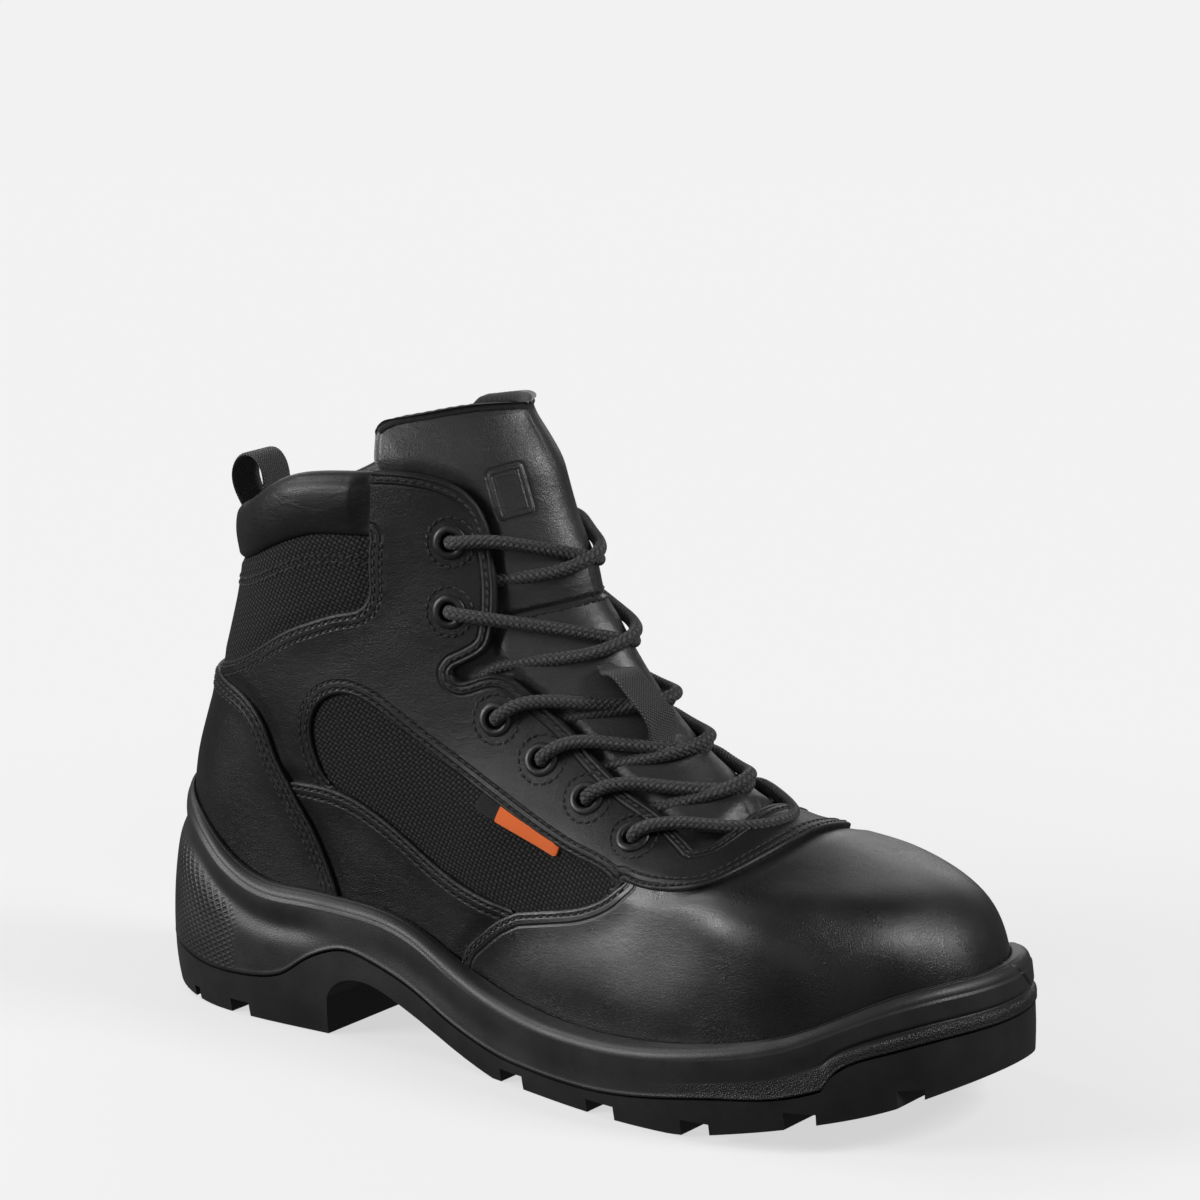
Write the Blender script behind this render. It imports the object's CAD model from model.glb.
import math
import bpy
import numpy as np
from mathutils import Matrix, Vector


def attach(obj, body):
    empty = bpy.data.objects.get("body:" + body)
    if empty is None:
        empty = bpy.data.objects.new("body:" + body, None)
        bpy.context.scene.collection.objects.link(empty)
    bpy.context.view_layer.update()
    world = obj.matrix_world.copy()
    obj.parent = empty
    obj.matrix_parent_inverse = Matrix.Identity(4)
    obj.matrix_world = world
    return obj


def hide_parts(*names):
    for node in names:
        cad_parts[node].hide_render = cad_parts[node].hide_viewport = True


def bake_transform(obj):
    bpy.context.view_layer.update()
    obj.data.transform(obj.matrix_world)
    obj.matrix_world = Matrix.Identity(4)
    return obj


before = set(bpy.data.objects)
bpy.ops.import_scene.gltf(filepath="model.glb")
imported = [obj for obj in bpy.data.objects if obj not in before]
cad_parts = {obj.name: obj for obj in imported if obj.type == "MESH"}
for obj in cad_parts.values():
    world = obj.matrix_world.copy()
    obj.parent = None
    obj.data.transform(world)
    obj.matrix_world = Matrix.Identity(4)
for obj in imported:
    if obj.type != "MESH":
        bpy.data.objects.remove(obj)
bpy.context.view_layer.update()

# The shapes are worked out in the millimetre coordinates of the CAD model before it was centred, and SHIFT moves them to the frame.
SHIFT = np.array([-0.5001443, 1.5417146, 0.0])


def to_frame(P):
    return (np.asarray(P, float) + SHIFT) * 0.001


# ---------------- camera ----------------
AZ, EL, DIST = math.radians(35.0), math.radians(13.0), 1.5
target = Vector(to_frame([7.0, 0.0, 143.35]))
back_dir = Vector((math.sin(AZ) * math.cos(EL), -math.cos(AZ) * math.cos(EL), math.sin(EL)))
cam_data = bpy.data.cameras.new("camera")
cam_data.sensor_width = 36.0
cam_data.lens = 4894.0 / 1200.0 * 36.0
cam_data.clip_start = 0.05
cam_data.clip_end = 20.0
cam = bpy.data.objects.new("camera", cam_data)
bpy.context.scene.collection.objects.link(cam)
cam.location = target + back_dir * DIST
cam.rotation_euler = back_dir.to_track_quat("Z", "Y").to_euler()
bpy.context.scene.camera = cam


# ---------------- curves of the last ----------------
def cubic(xs, ys):
    xs = np.asarray(xs, float)
    ys = np.asarray(ys, float)
    n = len(xs)
    h = np.diff(xs)
    A = np.zeros((n, n))
    r = np.zeros(n)
    A[0, 0] = A[-1, -1] = 1
    for i in range(1, n - 1):
        A[i, i - 1] = h[i - 1]
        A[i, i] = 2 * (h[i - 1] + h[i])
        A[i, i + 1] = h[i]
        r[i] = 3 * ((ys[i + 1] - ys[i]) / h[i] - (ys[i] - ys[i - 1]) / h[i - 1])
    c = np.linalg.solve(A, r)
    b = (ys[1:] - ys[:-1]) / h - h * (2 * c[:-1] + c[1:]) / 3
    d = (c[1:] - c[:-1]) / (3 * h)

    def f(x):
        x = np.asarray(x, float)
        i = np.clip(np.searchsorted(xs, x, side="right") - 1, 0, n - 2)
        t = x - xs[i]
        return ys[i] + b[i] * t + c[i] * t * t + d[i] * t**3

    return f


def smooth(t):
    t = np.clip(t, 0, 1)
    return t * t * (3 - 2 * t)


BACK_Z = [0, 20, 40, 60, 80, 100, 120, 140, 160, 180, 200, 225]
BACK_X = [-136, -140, -145, -146.5, -143.5, -136.5, -129.5, -124.5, -122.5, -119, -115, -110]
back = cubic(BACK_Z, BACK_X)
RIDGE = np.array([(141, 4), (143, 20), (146.5, 36), (146, 50), (141.5, 60.5), (131, 69.5), (113, 74.5), (94, 79),
                  (74, 86), (53, 97.5), (35, 112), (20, 129), (8, 148.5), (-2, 169), (-9.5, 190), (-15, 208), (-19, 224)], float)
RS = np.concatenate([[0], np.cumsum(np.hypot(*np.diff(RIDGE, axis=0).T))])
RX = cubic(RS, RIDGE[:, 0])
RZ = cubic(RS, RIDGE[:, 1])
R_START = RS[1]
R_TOP = RS[14]
RR = np.linspace(0, RS[-1], 1400)
RXX = RX(RR)
RZZ = RZ(RR)
TX = np.gradient(RXX, RR)
TZ = np.gradient(RZZ, RR)
NX = -TZ / np.hypot(TX, TZ)
NZ = TX / np.hypot(TX, TZ)
PX = [-150, -120, -90, -60, -30, 0, 30, 60, 85, 105, 125, 140, 152]
PL = [-31, -33.5, -34.5, -34.5, -35.5, -39.5, -45.5, -50, -50.5, -48.5, -43.5, -36, -28]
PM = [31, 33, 33, 31, 30, 33, 40, 46, 48.5, 48.5, 46, 41, 34]
plat = cubic(PX, PL)
pmed = cubic(PX, PM)
SL = cubic([-150, -120, -90, -60, -30, 0, 30], [-33, -35, -36, -36, -35, -33, -30])
FRZ = [4, 20, 36, 50, 62, 72, 79, 84.5, 92.5, 103, 116, 131, 150, 170, 190, 224]
FR = [60, 62, 60, 62, 68, 84, 100, 112, 118, 114, 106, 96, 88, 82, 78, 74]
front_R = cubic(FRZ, FR)
front_n = cubic([4, 20, 50, 62, 72, 80, 96, 140, 224], [2.5, 2.5, 2.5, 2.4, 2.2, 2.05, 2.0, 2.0, 2.0])
_up = np.concatenate([[True], RZZ[1:] > np.maximum.accumulate(RZZ)[:-1] + 1e-6])
TAB_X, TAB_Z = RXX[_up], RZZ[_up]


def halfwidths(x, z):
    k = smooth((z - 60) / 70.0)
    yl = plat(x) * (1 - k) + SL(x) * k
    ym = pmed(x) * (1 - k) - SL(x) * k
    c = (yl + ym) / 2
    h = (ym - yl) / 2
    xf = np.interp(z, TAB_Z, TAB_X)
    q = np.clip((x - back(z)) / 44.0, 0, 1)
    b = (1 - (1 - q) ** 2.25) ** (1 / 2.25)
    n = front_n(z)
    q2 = np.clip((xf - x) / front_R(z), 0, 1)
    f = (1 - (1 - q2) ** n) ** (1 / n)
    # the sides of the forefoot lean inward above the welt
    k = smooth((x + 20) / 40.0) * (1 - smooth((x - 48) / 52.0))
    lean = 1 - 0.155 * k * smooth((z - 33) / 40.0) * (1 - smooth((z - 70) / 26.0))
    return c, h * b * f * lean


def place(x, z, side):
    c, h = halfwidths(x, z)
    return np.stack([x, c + np.sign(side) * h, z], -1)


def implicit(x, y, z):
    c, h = halfwidths(x, z)
    return (y - c) ** 2 - h**2


def surf_normals(P, e=0.4):
    x, y, z = P[:, 0], P[:, 1], P[:, 2]
    g = np.stack([implicit(x + e, y, z) - implicit(x - e, y, z),
                  implicit(x, y + e, z) - implicit(x, y - e, z),
                  implicit(x, y, z + e) - implicit(x, y, z - e)], -1)
    return g / np.maximum(np.linalg.norm(g, axis=1, keepdims=True), 1e-9)


# ---------------- base grid over the whole upper ----------------
NUH = 300
NV = 150


def make_grid():
    vs = np.linspace(-0.085, 1.165, NV)
    u = np.linspace(0, 1, NUH + 1)
    s = 0.5 * (1 - np.cos(np.pi * u))
    zb = 20 + 154 * vs
    xb = back(zb)
    r = R_START + (R_TOP - R_START) * vs
    xf, zf = RX(r), RZ(r)
    x = xb[:, None] + (xf - xb)[:, None] * s[None]
    z = zb[:, None] + (zf - zb)[:, None] * s[None]
    sgn = np.ones(NUH + 1)
    sgn[0] = sgn[-1] = 0
    X = np.concatenate([x, x[:, -2:0:-1]], 1)
    Z = np.concatenate([z, z[:, -2:0:-1]], 1)
    S = np.concatenate([-sgn, sgn[-2:0:-1]])[None].repeat(NV, 0)
    P = place(X.ravel(), Z.ravel(), S.ravel()).reshape(NV, -1, 3)
    # arc length round each ring, measured from the back
    stepd = np.linalg.norm(np.diff(P, axis=1), axis=2)
    half = np.concatenate([np.zeros((NV, 1)), np.cumsum(stepd[:, :NUH], 1)], 1)
    U = np.concatenate([-half, half[:, -2:0:-1]], 1)
    A = np.stack([X, Z, S, U], -1).reshape(-1, 4)
    M = X.shape[1]
    i = np.arange(NV - 1)[:, None] * M
    j = np.arange(M)[None]
    a = (i + j).ravel()
    b = (i + (j + 1) % M).ravel()
    c = b + M
    d = a + M
    flip = ((np.arange(NV - 1)[:, None] + j) % 2).ravel().astype(bool)
    T = np.concatenate([np.stack([a, b, c], 1)[~flip], np.stack([a, c, d], 1)[~flip],
                        np.stack([a, b, d], 1)[flip], np.stack([b, c, d], 1)[flip]])
    return A, T


GRID_A, GRID_T = make_grid()


# ---------------- line helpers in side view ----------------
def dense(pts, kind="s", step=1.0):
    P = np.asarray(pts, float)
    if kind == "l":
        out = [P[:1]]
        for a, b in zip(P, P[1:]):
            n = max(1, int(np.hypot(*(b - a)) / 3))
            out.append(a + (b - a) * (np.arange(1, n + 1) / n)[:, None])
        return np.concatenate(out)
    s = np.concatenate([[0], np.cumsum(np.hypot(*np.diff(P, axis=0).T))])
    n = max(8, int(s[-1] / step))
    q = np.linspace(0, s[-1], n)
    return np.stack([cubic(s, P[:, 0])(q), cubic(s, P[:, 1])(q)], 1)


def closed_dense(pts, step=1.0):
    P = np.asarray(pts, float)
    k = 3
    E = np.concatenate([P[-k:], P, P[:k + 1]])
    s = np.concatenate([[0], np.cumsum(np.hypot(*np.diff(E, axis=0).T))])
    q = np.linspace(s[k], s[k + len(P)], int((s[k + len(P)] - s[k]) / step))[:-1]
    return np.stack([cubic(s, E[:, 0])(q), cubic(s, E[:, 1])(q)], 1)


def loop(*segs):
    return np.concatenate([dense(p, k) for k, p in segs])


def line_dist(L, X, Z, closed=False):
    """distance, unit direction away from the line, nearest parameter 0..1"""
    a = L
    b = np.roll(L, -1, 0) if closed else L[1:]
    if not closed:
        a = L[:-1]
    ab = b - a
    den = np.maximum((ab**2).sum(1), 1e-12)
    D = np.empty(len(X))
    G = np.empty((len(X), 2))
    K = np.empty(len(X))
    for i in range(0, len(X), 16000):
        p = np.stack([X[i:i + 16000], Z[i:i + 16000]], 1)
        t = ((p[:, None, 0] - a[None, :, 0]) * ab[None, :, 0] + (p[:, None, 1] - a[None, :, 1]) * ab[None, :, 1]) / den[None]
        t = np.clip(t, 0, 1)
        dx = p[:, None, 0] - a[None, :, 0] - t * ab[None, :, 0]
        dz = p[:, None, 1] - a[None, :, 1] - t * ab[None, :, 1]
        d2 = dx * dx + dz * dz
        m = d2.argmin(1)
        r = np.arange(len(p))
        d = np.sqrt(d2[r, m])
        D[i:i + 16000] = d
        G[i:i + 16000, 0] = dx[r, m] / np.maximum(d, 1e-9)
        G[i:i + 16000, 1] = dz[r, m] / np.maximum(d, 1e-9)
        K[i:i + 16000] = (m + t[r, m]) / len(a)
    return D, G, K


def inside(L, X, Z):
    c = np.zeros(len(X), bool)
    x0, z0 = L[:, 0], L[:, 1]
    x1, z1 = np.roll(x0, -1), np.roll(z0, -1)
    for i in range(0, len(X), 16000):
        p, q = X[i:i + 16000, None], Z[i:i + 16000, None]
        cr = (z0[None] > q) != (z1[None] > q)
        with np.errstate(divide="ignore", invalid="ignore"):
            xi = x0[None] + (q - z0[None]) / (z1 - z0)[None] * (x1 - x0)[None]
        c[i:i + 16000] = (np.sum(cr & (p < xi), 1) % 2).astype(bool)
    return c


def split(A, T, F, level=0.0, keep_both=False):
    """cuts triangles along F=level; A is the vertex table, F a value per vertex. Returns the new A, T, F."""
    s = F >= level
    st = s[T]
    k = st.sum(1)
    full = T[k == 3]
    none = T[k == 0]
    mix = T[(k == 1) | (k == 2)]
    if len(mix) == 0:
        T2 = np.concatenate([full, none]) if keep_both else full
        return compact(A, T2, F)
    sm = s[mix]
    lone_val = sm.sum(1) == 1
    lone = np.where(lone_val[:, None], sm, ~sm).argmax(1)
    r = np.arange(len(mix))
    a = mix[r, lone]
    b = mix[r, (lone + 1) % 3]
    c = mix[r, (lone + 2) % 3]

    def ekey(p, q):
        return np.minimum(p, q).astype(np.int64) * len(A) + np.maximum(p, q)

    keys = np.concatenate([ekey(a, b), ekey(a, c)])
    uk, inv = np.unique(keys, return_inverse=True)
    p, q = uk // len(A), uk % len(A)
    w = (level - F[p]) / np.where(np.abs(F[q] - F[p]) < 1e-12, 1e-12, F[q] - F[p])
    w = np.clip(w, 0, 1)[:, None]
    NA = A[p] * (1 - w) + A[q] * w
    NF = np.full(len(p), level)
    ab = inv[:len(mix)] + len(A)
    ac = inv[len(mix):] + len(A)
    lone_t = np.stack([a, ab, ac], 1)
    two = np.concatenate([np.stack([ab, b, c], 1), np.stack([ab, c, ac], 1)])
    lone2 = np.concatenate([lone_val, lone_val])
    if keep_both:
        T2 = np.concatenate([full, none, lone_t, two])
    else:
        T2 = np.concatenate([full, lone_t[lone_val], two[~lone2]])
    return compact(np.concatenate([A, NA]), T2, np.concatenate([F, NF]))


def compact(A, T, F):
    used, inv = np.unique(T, return_inverse=True)
    return A[used], inv.reshape(-1, 3), F[used]


def cut_region(poly, side=0, pad=2.0):
    """the part of the base grid inside a side-view polygon, on one side or on both; edges lie on the polygon"""
    lo, hi = poly.min(0) - pad, poly.max(0) + pad
    A = GRID_A
    m = (A[:, 0] > lo[0]) & (A[:, 0] < hi[0]) & (A[:, 1] > lo[1]) & (A[:, 1] < hi[1])
    T = GRID_T[m[GRID_T].all(1)]
    if side:
        s = A[:, 2] * side
        T = T[(s[T] >= 0).all(1) & (s[T] > 0).any(1)]
    A, T, _ = compact(A, T, A[:, 0])
    A = A.copy()
    D, G, _ = line_dist(poly, A[:, 0], A[:, 1], closed=True)
    ins = inside(poly, A[:, 0], A[:, 1])
    near = (D < 0.3) & (A[:, 2] != 0)
    A[near, 0] -= D[near] * G[near, 0]
    A[near, 1] -= D[near] * G[near, 1]
    F = np.where(ins, D, -D)
    F[near] = 0.0
    A, T, F = split(A, T, F, 0.0)
    area = tri_area(place(A[:, 0], A[:, 1], A[:, 2]), T)
    A, T, F = compact(A, T[area > 1e-4], F)
    return A, T


def tri_area(P, T):
    return 0.5 * np.linalg.norm(np.cross(P[T[:, 1]] - P[T[:, 0]], P[T[:, 2]] - P[T[:, 0]]), axis=1)


def on_surface(L, A, N, closed=False):
    """distance measured over the surface from a side-view line, and the nearest parameter"""
    D, G, K = line_dist(L, A[:, 0], A[:, 1], closed)
    gn = G[:, 0] * N[:, 0] + G[:, 1] * N[:, 2]
    gs = np.sqrt(np.clip(1 - gn**2, 0.12, 1))
    return D / gs, K


# ---------------- mesh building ----------------
def vertex_normals(V, tris, quads):
    n = np.zeros_like(V)
    T = [tris] if tris is not None and len(tris) else []
    if quads is not None and len(quads):
        T += [quads[:, [0, 1, 2]], quads[:, [0, 2, 3]]]
    T = np.concatenate(T)
    f = np.cross(V[T[:, 1]] - V[T[:, 0]], V[T[:, 2]] - V[T[:, 0]])
    for k in range(3):
        np.add.at(n, T[:, k], f)
    ln = np.linalg.norm(n, axis=1, keepdims=True)
    return n / np.where(ln < 1e-12, 1, ln)


def build(name, V, tris=None, quads=None, mat=None, body="boot", uv=None, attrs=None, custom=True, replaces=()):
    V = np.asarray(V, float)
    parts = []
    if tris is not None and len(tris):
        parts.append((np.asarray(tris), 3))
    if quads is not None and len(quads):
        parts.append((np.asarray(quads), 4))
    me = bpy.data.meshes.new(name)
    co = to_frame(V).astype(np.float32)
    me.vertices.add(len(V))
    me.vertices.foreach_set("co", co.ravel())
    nl = sum(p.size for p, _ in parts)
    nf = sum(len(p) for p, _ in parts)
    me.loops.add(nl)
    me.polygons.add(nf)
    vi = np.concatenate([p.ravel() for p, _ in parts]).astype(np.int32)
    tot = np.concatenate([np.full(len(p), k) for p, k in parts]).astype(np.int32)
    st = np.concatenate([[0], np.cumsum(tot)[:-1]]).astype(np.int32)
    me.loops.foreach_set("vertex_index", vi)
    me.polygons.foreach_set("loop_start", st)
    me.polygons.foreach_set("use_smooth", np.ones(nf, bool))
    me.update(calc_edges=True)
    if uv is not None:
        lay = me.uv_layers.new(name="UVMap")
        lay.data.foreach_set("uv", np.asarray(uv, np.float32)[vi].ravel())
    for k, a in (attrs or {}).items():
        at = me.attributes.new(k, "FLOAT", "POINT")
        at.data.foreach_set("value", np.asarray(a, np.float32))
    if mat is not None:
        me.materials.append(mat)
    me.validate()
    if custom and len(me.vertices) == len(V):
        nn = vertex_normals(V, parts[0][0] if parts[0][1] == 3 else None, parts[-1][0] if parts[-1][1] == 4 else None)
        me.normals_split_custom_set_from_vertices([tuple(q) for q in nn])
    ob = bpy.data.objects.new(name, me)
    bpy.context.scene.collection.objects.link(ob)
    if isinstance(body, str):
        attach(ob, body)
    if replaces:
        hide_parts(*replaces)
    return ob


def boundary(T):
    E = np.concatenate([T[:, [0, 1]], T[:, [1, 2]], T[:, [2, 0]]])
    key = np.sort(E, 1)
    _, inv, cnt = np.unique(key, axis=0, return_inverse=True, return_counts=True)
    return E[cnt[inv.ravel()] == 1]


def orient(P, T, N):
    f = np.cross(P[T[:, 1]] - P[T[:, 0]], P[T[:, 2]] - P[T[:, 0]])
    bad = (f * N[T[:, 0]]).sum(1) < 0
    T = T.copy()
    T[bad] = T[bad][:, [0, 2, 1]]
    return T


def shell(name, A, T, t_out, t_in, mat, body="boot", attrs=None, replaces=(), P=None, N=None):
    """a closed thin piece between two depths below the outer face"""
    if P is None:
        P = place(A[:, 0], A[:, 1], A[:, 2])
        N = surf_normals(P)
    T = orient(P, T, N)
    O = P - N * np.asarray(t_out)[:, None]
    I = P - N * np.asarray(t_in)[:, None]
    n = len(P)
    B = boundary(T)
    bv = np.unique(B)
    m = np.full(n, -1)
    m[bv] = np.arange(len(bv))
    # the rim of the piece has its own vertices so that its edge stays crisp
    V = np.concatenate([O, I, O[bv], I[bv]])
    W = np.stack([B[:, 1], B[:, 0], B[:, 0], B[:, 1]], 1)
    Wq = np.stack([2 * n + m[B[:, 1]], 2 * n + m[B[:, 0]], 2 * n + len(bv) + m[B[:, 0]], 2 * n + len(bv) + m[B[:, 1]]], 1)
    tris = np.concatenate([T, T[:, [0, 2, 1]] + n])
    uv = np.stack([A[:, 3], A[:, 1]], 1)
    uv = np.concatenate([uv, uv, uv[bv], uv[bv]])
    at = {}
    for k, a in (attrs or {}).items():
        at[k] = np.concatenate([a, a, a[bv], a[bv]])
    at["face"] = np.concatenate([np.ones(n), np.zeros(n), np.full(len(bv), 0.5), np.full(len(bv), 0.5)])
    ob = build(name, V, tris, Wq, mat, body, uv, at, replaces=replaces)
    return ob, O, P, N, T


def isolines(O, N, T, F, K, level, kmin=0.004, kmax=0.996):
    """polylines on the piece where F=level, with normals"""
    s = F >= level
    st = s[T].sum(1)
    mix = T[(st == 1) | (st == 2)]
    okk = (K[mix] > kmin).all(1) & (K[mix] < kmax).all(1)
    mix = mix[okk]
    nbr = {}
    pos = {}
    for tri in mix.tolist():
        ks = []
        for a, b in ((tri[0], tri[1]), (tri[1], tri[2]), (tri[2], tri[0])):
            if s[a] != s[b]:
                k = (a, b) if a < b else (b, a)
                if k not in pos:
                    w = (level - F[k[0]]) / (F[k[1]] - F[k[0]])
                    pos[k] = (O[k[0]] * (1 - w) + O[k[1]] * w, N[k[0]] * (1 - w) + N[k[1]] * w)
                ks.append(k)
        if len(ks) == 2:
            nbr.setdefault(ks[0], []).append(ks[1])
            nbr.setdefault(ks[1], []).append(ks[0])
    done = set()
    out = []
    for start in sorted(nbr, key=lambda k: len(nbr[k])):
        if start in done:
            continue
        chain = [start]
        done.add(start)
        cur = start
        while True:
            nx = [q for q in nbr[cur] if q not in done]
            if not nx:
                break
            cur = nx[0]
            done.add(cur)
            chain.append(cur)
        if len(nbr[start]) == 2 and start in nbr[chain[-1]] and len(chain) > 3:
            chain.append(start)
        P = np.array([pos[k][0] for k in chain])
        Q = np.array([pos[k][1] for k in chain])
        if len(P) > 2:
            out.append((P, Q))
    return out


def relax(P, closed, n=3):
    for _ in range(n):
        Q = P.copy()
        if closed:
            Q[:-1] = (np.roll(P[:-1], 1, 0) + 2 * P[:-1] + np.roll(P[:-1], -1, 0)) / 4
            Q[-1] = Q[0]
        else:
            Q[1:-1] = (P[:-2] + 2 * P[1:-1] + P[2:]) / 4
        P = Q
    return P


STITCH = {}


def stitch_path(group, P, Q, pitch=2.75, length=2.25, width=0.42, height=0.3, lift=0.05):
    closed = np.linalg.norm(P[0] - P[-1]) < 0.05
    P = relax(P, closed)
    s = np.concatenate([[0], np.cumsum(np.linalg.norm(np.diff(P, axis=0), axis=1))])
    if s[-1] < pitch * 1.5:
        return
    n = int(s[-1] / pitch)
    q = (np.arange(n) + 0.5) * (s[-1] / n)
    for k in q:
        c = np.array([np.interp(k, s, P[:, i]) for i in range(3)])
        a = np.array([np.interp(k - 0.8, s, P[:, i]) for i in range(3)])
        b = np.array([np.interp(k + 0.8, s, P[:, i]) for i in range(3)])
        nn = np.array([np.interp(k, s, Q[:, i]) for i in range(3)])
        t = (b - a) / max(np.linalg.norm(b - a), 1e-9)
        nn = nn - t * nn.dot(t)
        nn /= np.linalg.norm(nn)
        STITCH.setdefault(group, []).append((c, t, nn, length, width, height, lift))


RING = [(math.cos(2 * math.pi * k / 8), math.sin(2 * math.pi * k / 8)) for k in range(8)]
PROFILE = [(-0.5, 0.25, -1.5), (-0.44, 0.7, -0.6), (-0.28, 0.95, 0.1), (0.0, 1.0, 0.3), (0.28, 0.95, 0.1), (0.44, 0.7, -0.6), (0.5, 0.25, -1.5)]


def flush_stitches(mat_of):
    for group, items in STITCH.items():
        V, Q, U = [], [], []
        for c, t, nn, ln, w, h, lift in items:
            b = np.cross(nn, t)
            o = len(V)
            # the thread lies a little slantwise, as lockstitch does
            t2 = t + 0.12 * b
            t2 /= np.linalg.norm(t2)
            for px, r, up in PROFILE:
                for cx, cy in RING:
                    V.append(c + t2 * px * ln + b * cx * w * r + nn * (cy * h * r + up * h * 0.5 + lift))
                    U.append((px * ln, cx * 0.3))
            m = len(PROFILE)
            for i in range(m - 1):
                for k in range(8):
                    Q.append((o + i * 8 + k, o + i * 8 + (k + 1) % 8, o + (i + 1) * 8 + (k + 1) % 8, o + (i + 1) * 8 + k))
            Q.append((o + 0, o + 3, o + 2, o + 1)); Q.append((o + 0, o + 5, o + 4, o + 3)); Q.append((o + 0, o + 7, o + 6, o + 5))
            e = o + (m - 1) * 8
            Q.append((e + 0, e + 1, e + 2, e + 3)); Q.append((e + 0, e + 3, e + 4, e + 5)); Q.append((e + 0, e + 5, e + 6, e + 7))
        V = np.array(V)
        quads = np.array(Q)
        # every ring runs the same way round; turn the faces outwards
        f = np.cross(V[quads[0, 1]] - V[quads[0, 0]], V[quads[0, 2]] - V[quads[0, 0]])
        mid = V[:56].mean(0)
        if f.dot(V[quads[0, 0]] - mid) < 0:
            quads = quads[:, ::-1]
        build(group, V, None, quads, mat_of(group), body="tongue_flap" if group.startswith("stitch_flap") else "boot", uv=np.array(U))


# ---------------- materials ----------------
class Nodes:
    """short writer for node materials; coordinates are object metres scaled to millimetres"""

    def __init__(self, name):
        self.mat = bpy.data.materials.new(name)
        self.mat.use_nodes = True
        self.t = self.mat.node_tree
        self.t.nodes.clear()
        self.out = self.t.nodes.new("ShaderNodeOutputMaterial")
        self.b = self.t.nodes.new("ShaderNodeBsdfPrincipled")
        self.t.links.new(self.b.outputs[0], self.out.inputs[0])
        self.tc = self.t.nodes.new("ShaderNodeTexCoord")
        self.obj = self.vscale(self.tc.outputs["Object"], 1000.0)

    def link(self, a, b):
        self.t.links.new(a, b)

    def put(self, sock, v):
        if isinstance(v, (int, float)):
            sock.default_value = v
        elif isinstance(v, (tuple, list)):
            sock.default_value = v
        else:
            self.link(v, sock)

    def vscale(self, v, s):
        n = self.t.nodes.new("ShaderNodeVectorMath")
        n.operation = "MULTIPLY"
        self.link(v, n.inputs[0])
        n.inputs[1].default_value = (s, s, s) if isinstance(s, (int, float)) else s
        return n.outputs[0]

    def math(self, op, a, b=0.0, c=0.0, clamp=False):
        n = self.t.nodes.new("ShaderNodeMath")
        n.operation = op
        n.use_clamp = clamp
        self.put(n.inputs[0], a)
        self.put(n.inputs[1], b)
        self.put(n.inputs[2], c)
        return n.outputs[0]

    def noise(self, scale, detail=3.0, rough=0.55, vec=None, dist=0.0):
        n = self.t.nodes.new("ShaderNodeTexNoise")
        n.inputs["Scale"].default_value = scale
        n.inputs["Detail"].default_value = detail
        n.inputs["Roughness"].default_value = rough
        n.inputs["Distortion"].default_value = dist
        self.link(vec or self.obj, n.inputs["Vector"])
        return n.outputs["Fac"]

    def voronoi(self, scale, feature="F1", vec=None, rand=1.0):
        n = self.t.nodes.new("ShaderNodeTexVoronoi")
        n.feature = feature
        n.inputs["Scale"].default_value = scale
        n.inputs["Randomness"].default_value = rand
        self.link(vec or self.obj, n.inputs["Vector"])
        return n.outputs["Distance"]

    def attr(self, name):
        n = self.t.nodes.new("ShaderNodeAttribute")
        n.attribute_name = name
        return n.outputs["Fac"]

    def ramp(self, v, lo, hi, a=0.0, b=1.0, kind="LINEAR"):
        n = self.t.nodes.new("ShaderNodeMapRange")
        n.interpolation_type = kind
        self.link(v, n.inputs["Value"])
        n.inputs["From Min"].default_value = lo
        n.inputs["From Max"].default_value = hi
        n.inputs["To Min"].default_value = a
        n.inputs["To Max"].default_value = b
        return n.outputs["Result"]

    def mix(self, f, a, b):
        n = self.t.nodes.new("ShaderNodeMix")
        n.data_type = "RGBA"
        self.put(n.inputs["Factor"], f)
        self.put(n.inputs["A"], a)
        self.put(n.inputs["B"], b)
        return n.outputs["Result"]

    def bump(self, height, dist=0.0001, strength=1.0, normal=None):
        n = self.t.nodes.new("ShaderNodeBump")
        n.inputs["Distance"].default_value = dist
        n.inputs["Strength"].default_value = strength
        self.link(height, n.inputs["Height"])
        if normal is not None:
            self.link(normal, n.inputs["Normal"])
        return n.outputs["Normal"]

    def sep(self, v):
        n = self.t.nodes.new("ShaderNodeSeparateXYZ")
        self.link(v, n.inputs[0])
        return n.outputs

    def comb(self, x, y, z=0.0):
        n = self.t.nodes.new("ShaderNodeCombineXYZ")
        self.put(n.inputs[0], x)
        self.put(n.inputs[1], y)
        self.put(n.inputs[2], z)
        return n.outputs[0]

    def done(self, color, rough, normal=None, spec=0.5, metal=0.0, sheen=0.0, coat=0.0, sheen_rough=0.5, coat_rough=0.3):
        b = self.b
        self.put(b.inputs["Base Color"], color)
        self.put(b.inputs["Roughness"], rough)
        b.inputs["Specular IOR Level"].default_value = spec
        b.inputs["Metallic"].default_value = metal
        if sheen:
            b.inputs["Sheen Weight"].default_value = sheen
            b.inputs["Sheen Roughness"].default_value = sheen_rough
            b.inputs["Sheen Tint"].default_value = (1, 1, 1, 1)
        if coat:
            b.inputs["Coat Weight"].default_value = coat
            b.inputs["Coat Roughness"].default_value = coat_rough
        if normal is not None:
            self.link(normal, b.inputs["Normal"])
        return self.mat


def grey(v, r=1.0, b=1.0):
    return (v * r, v, v * b, 1.0)


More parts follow.
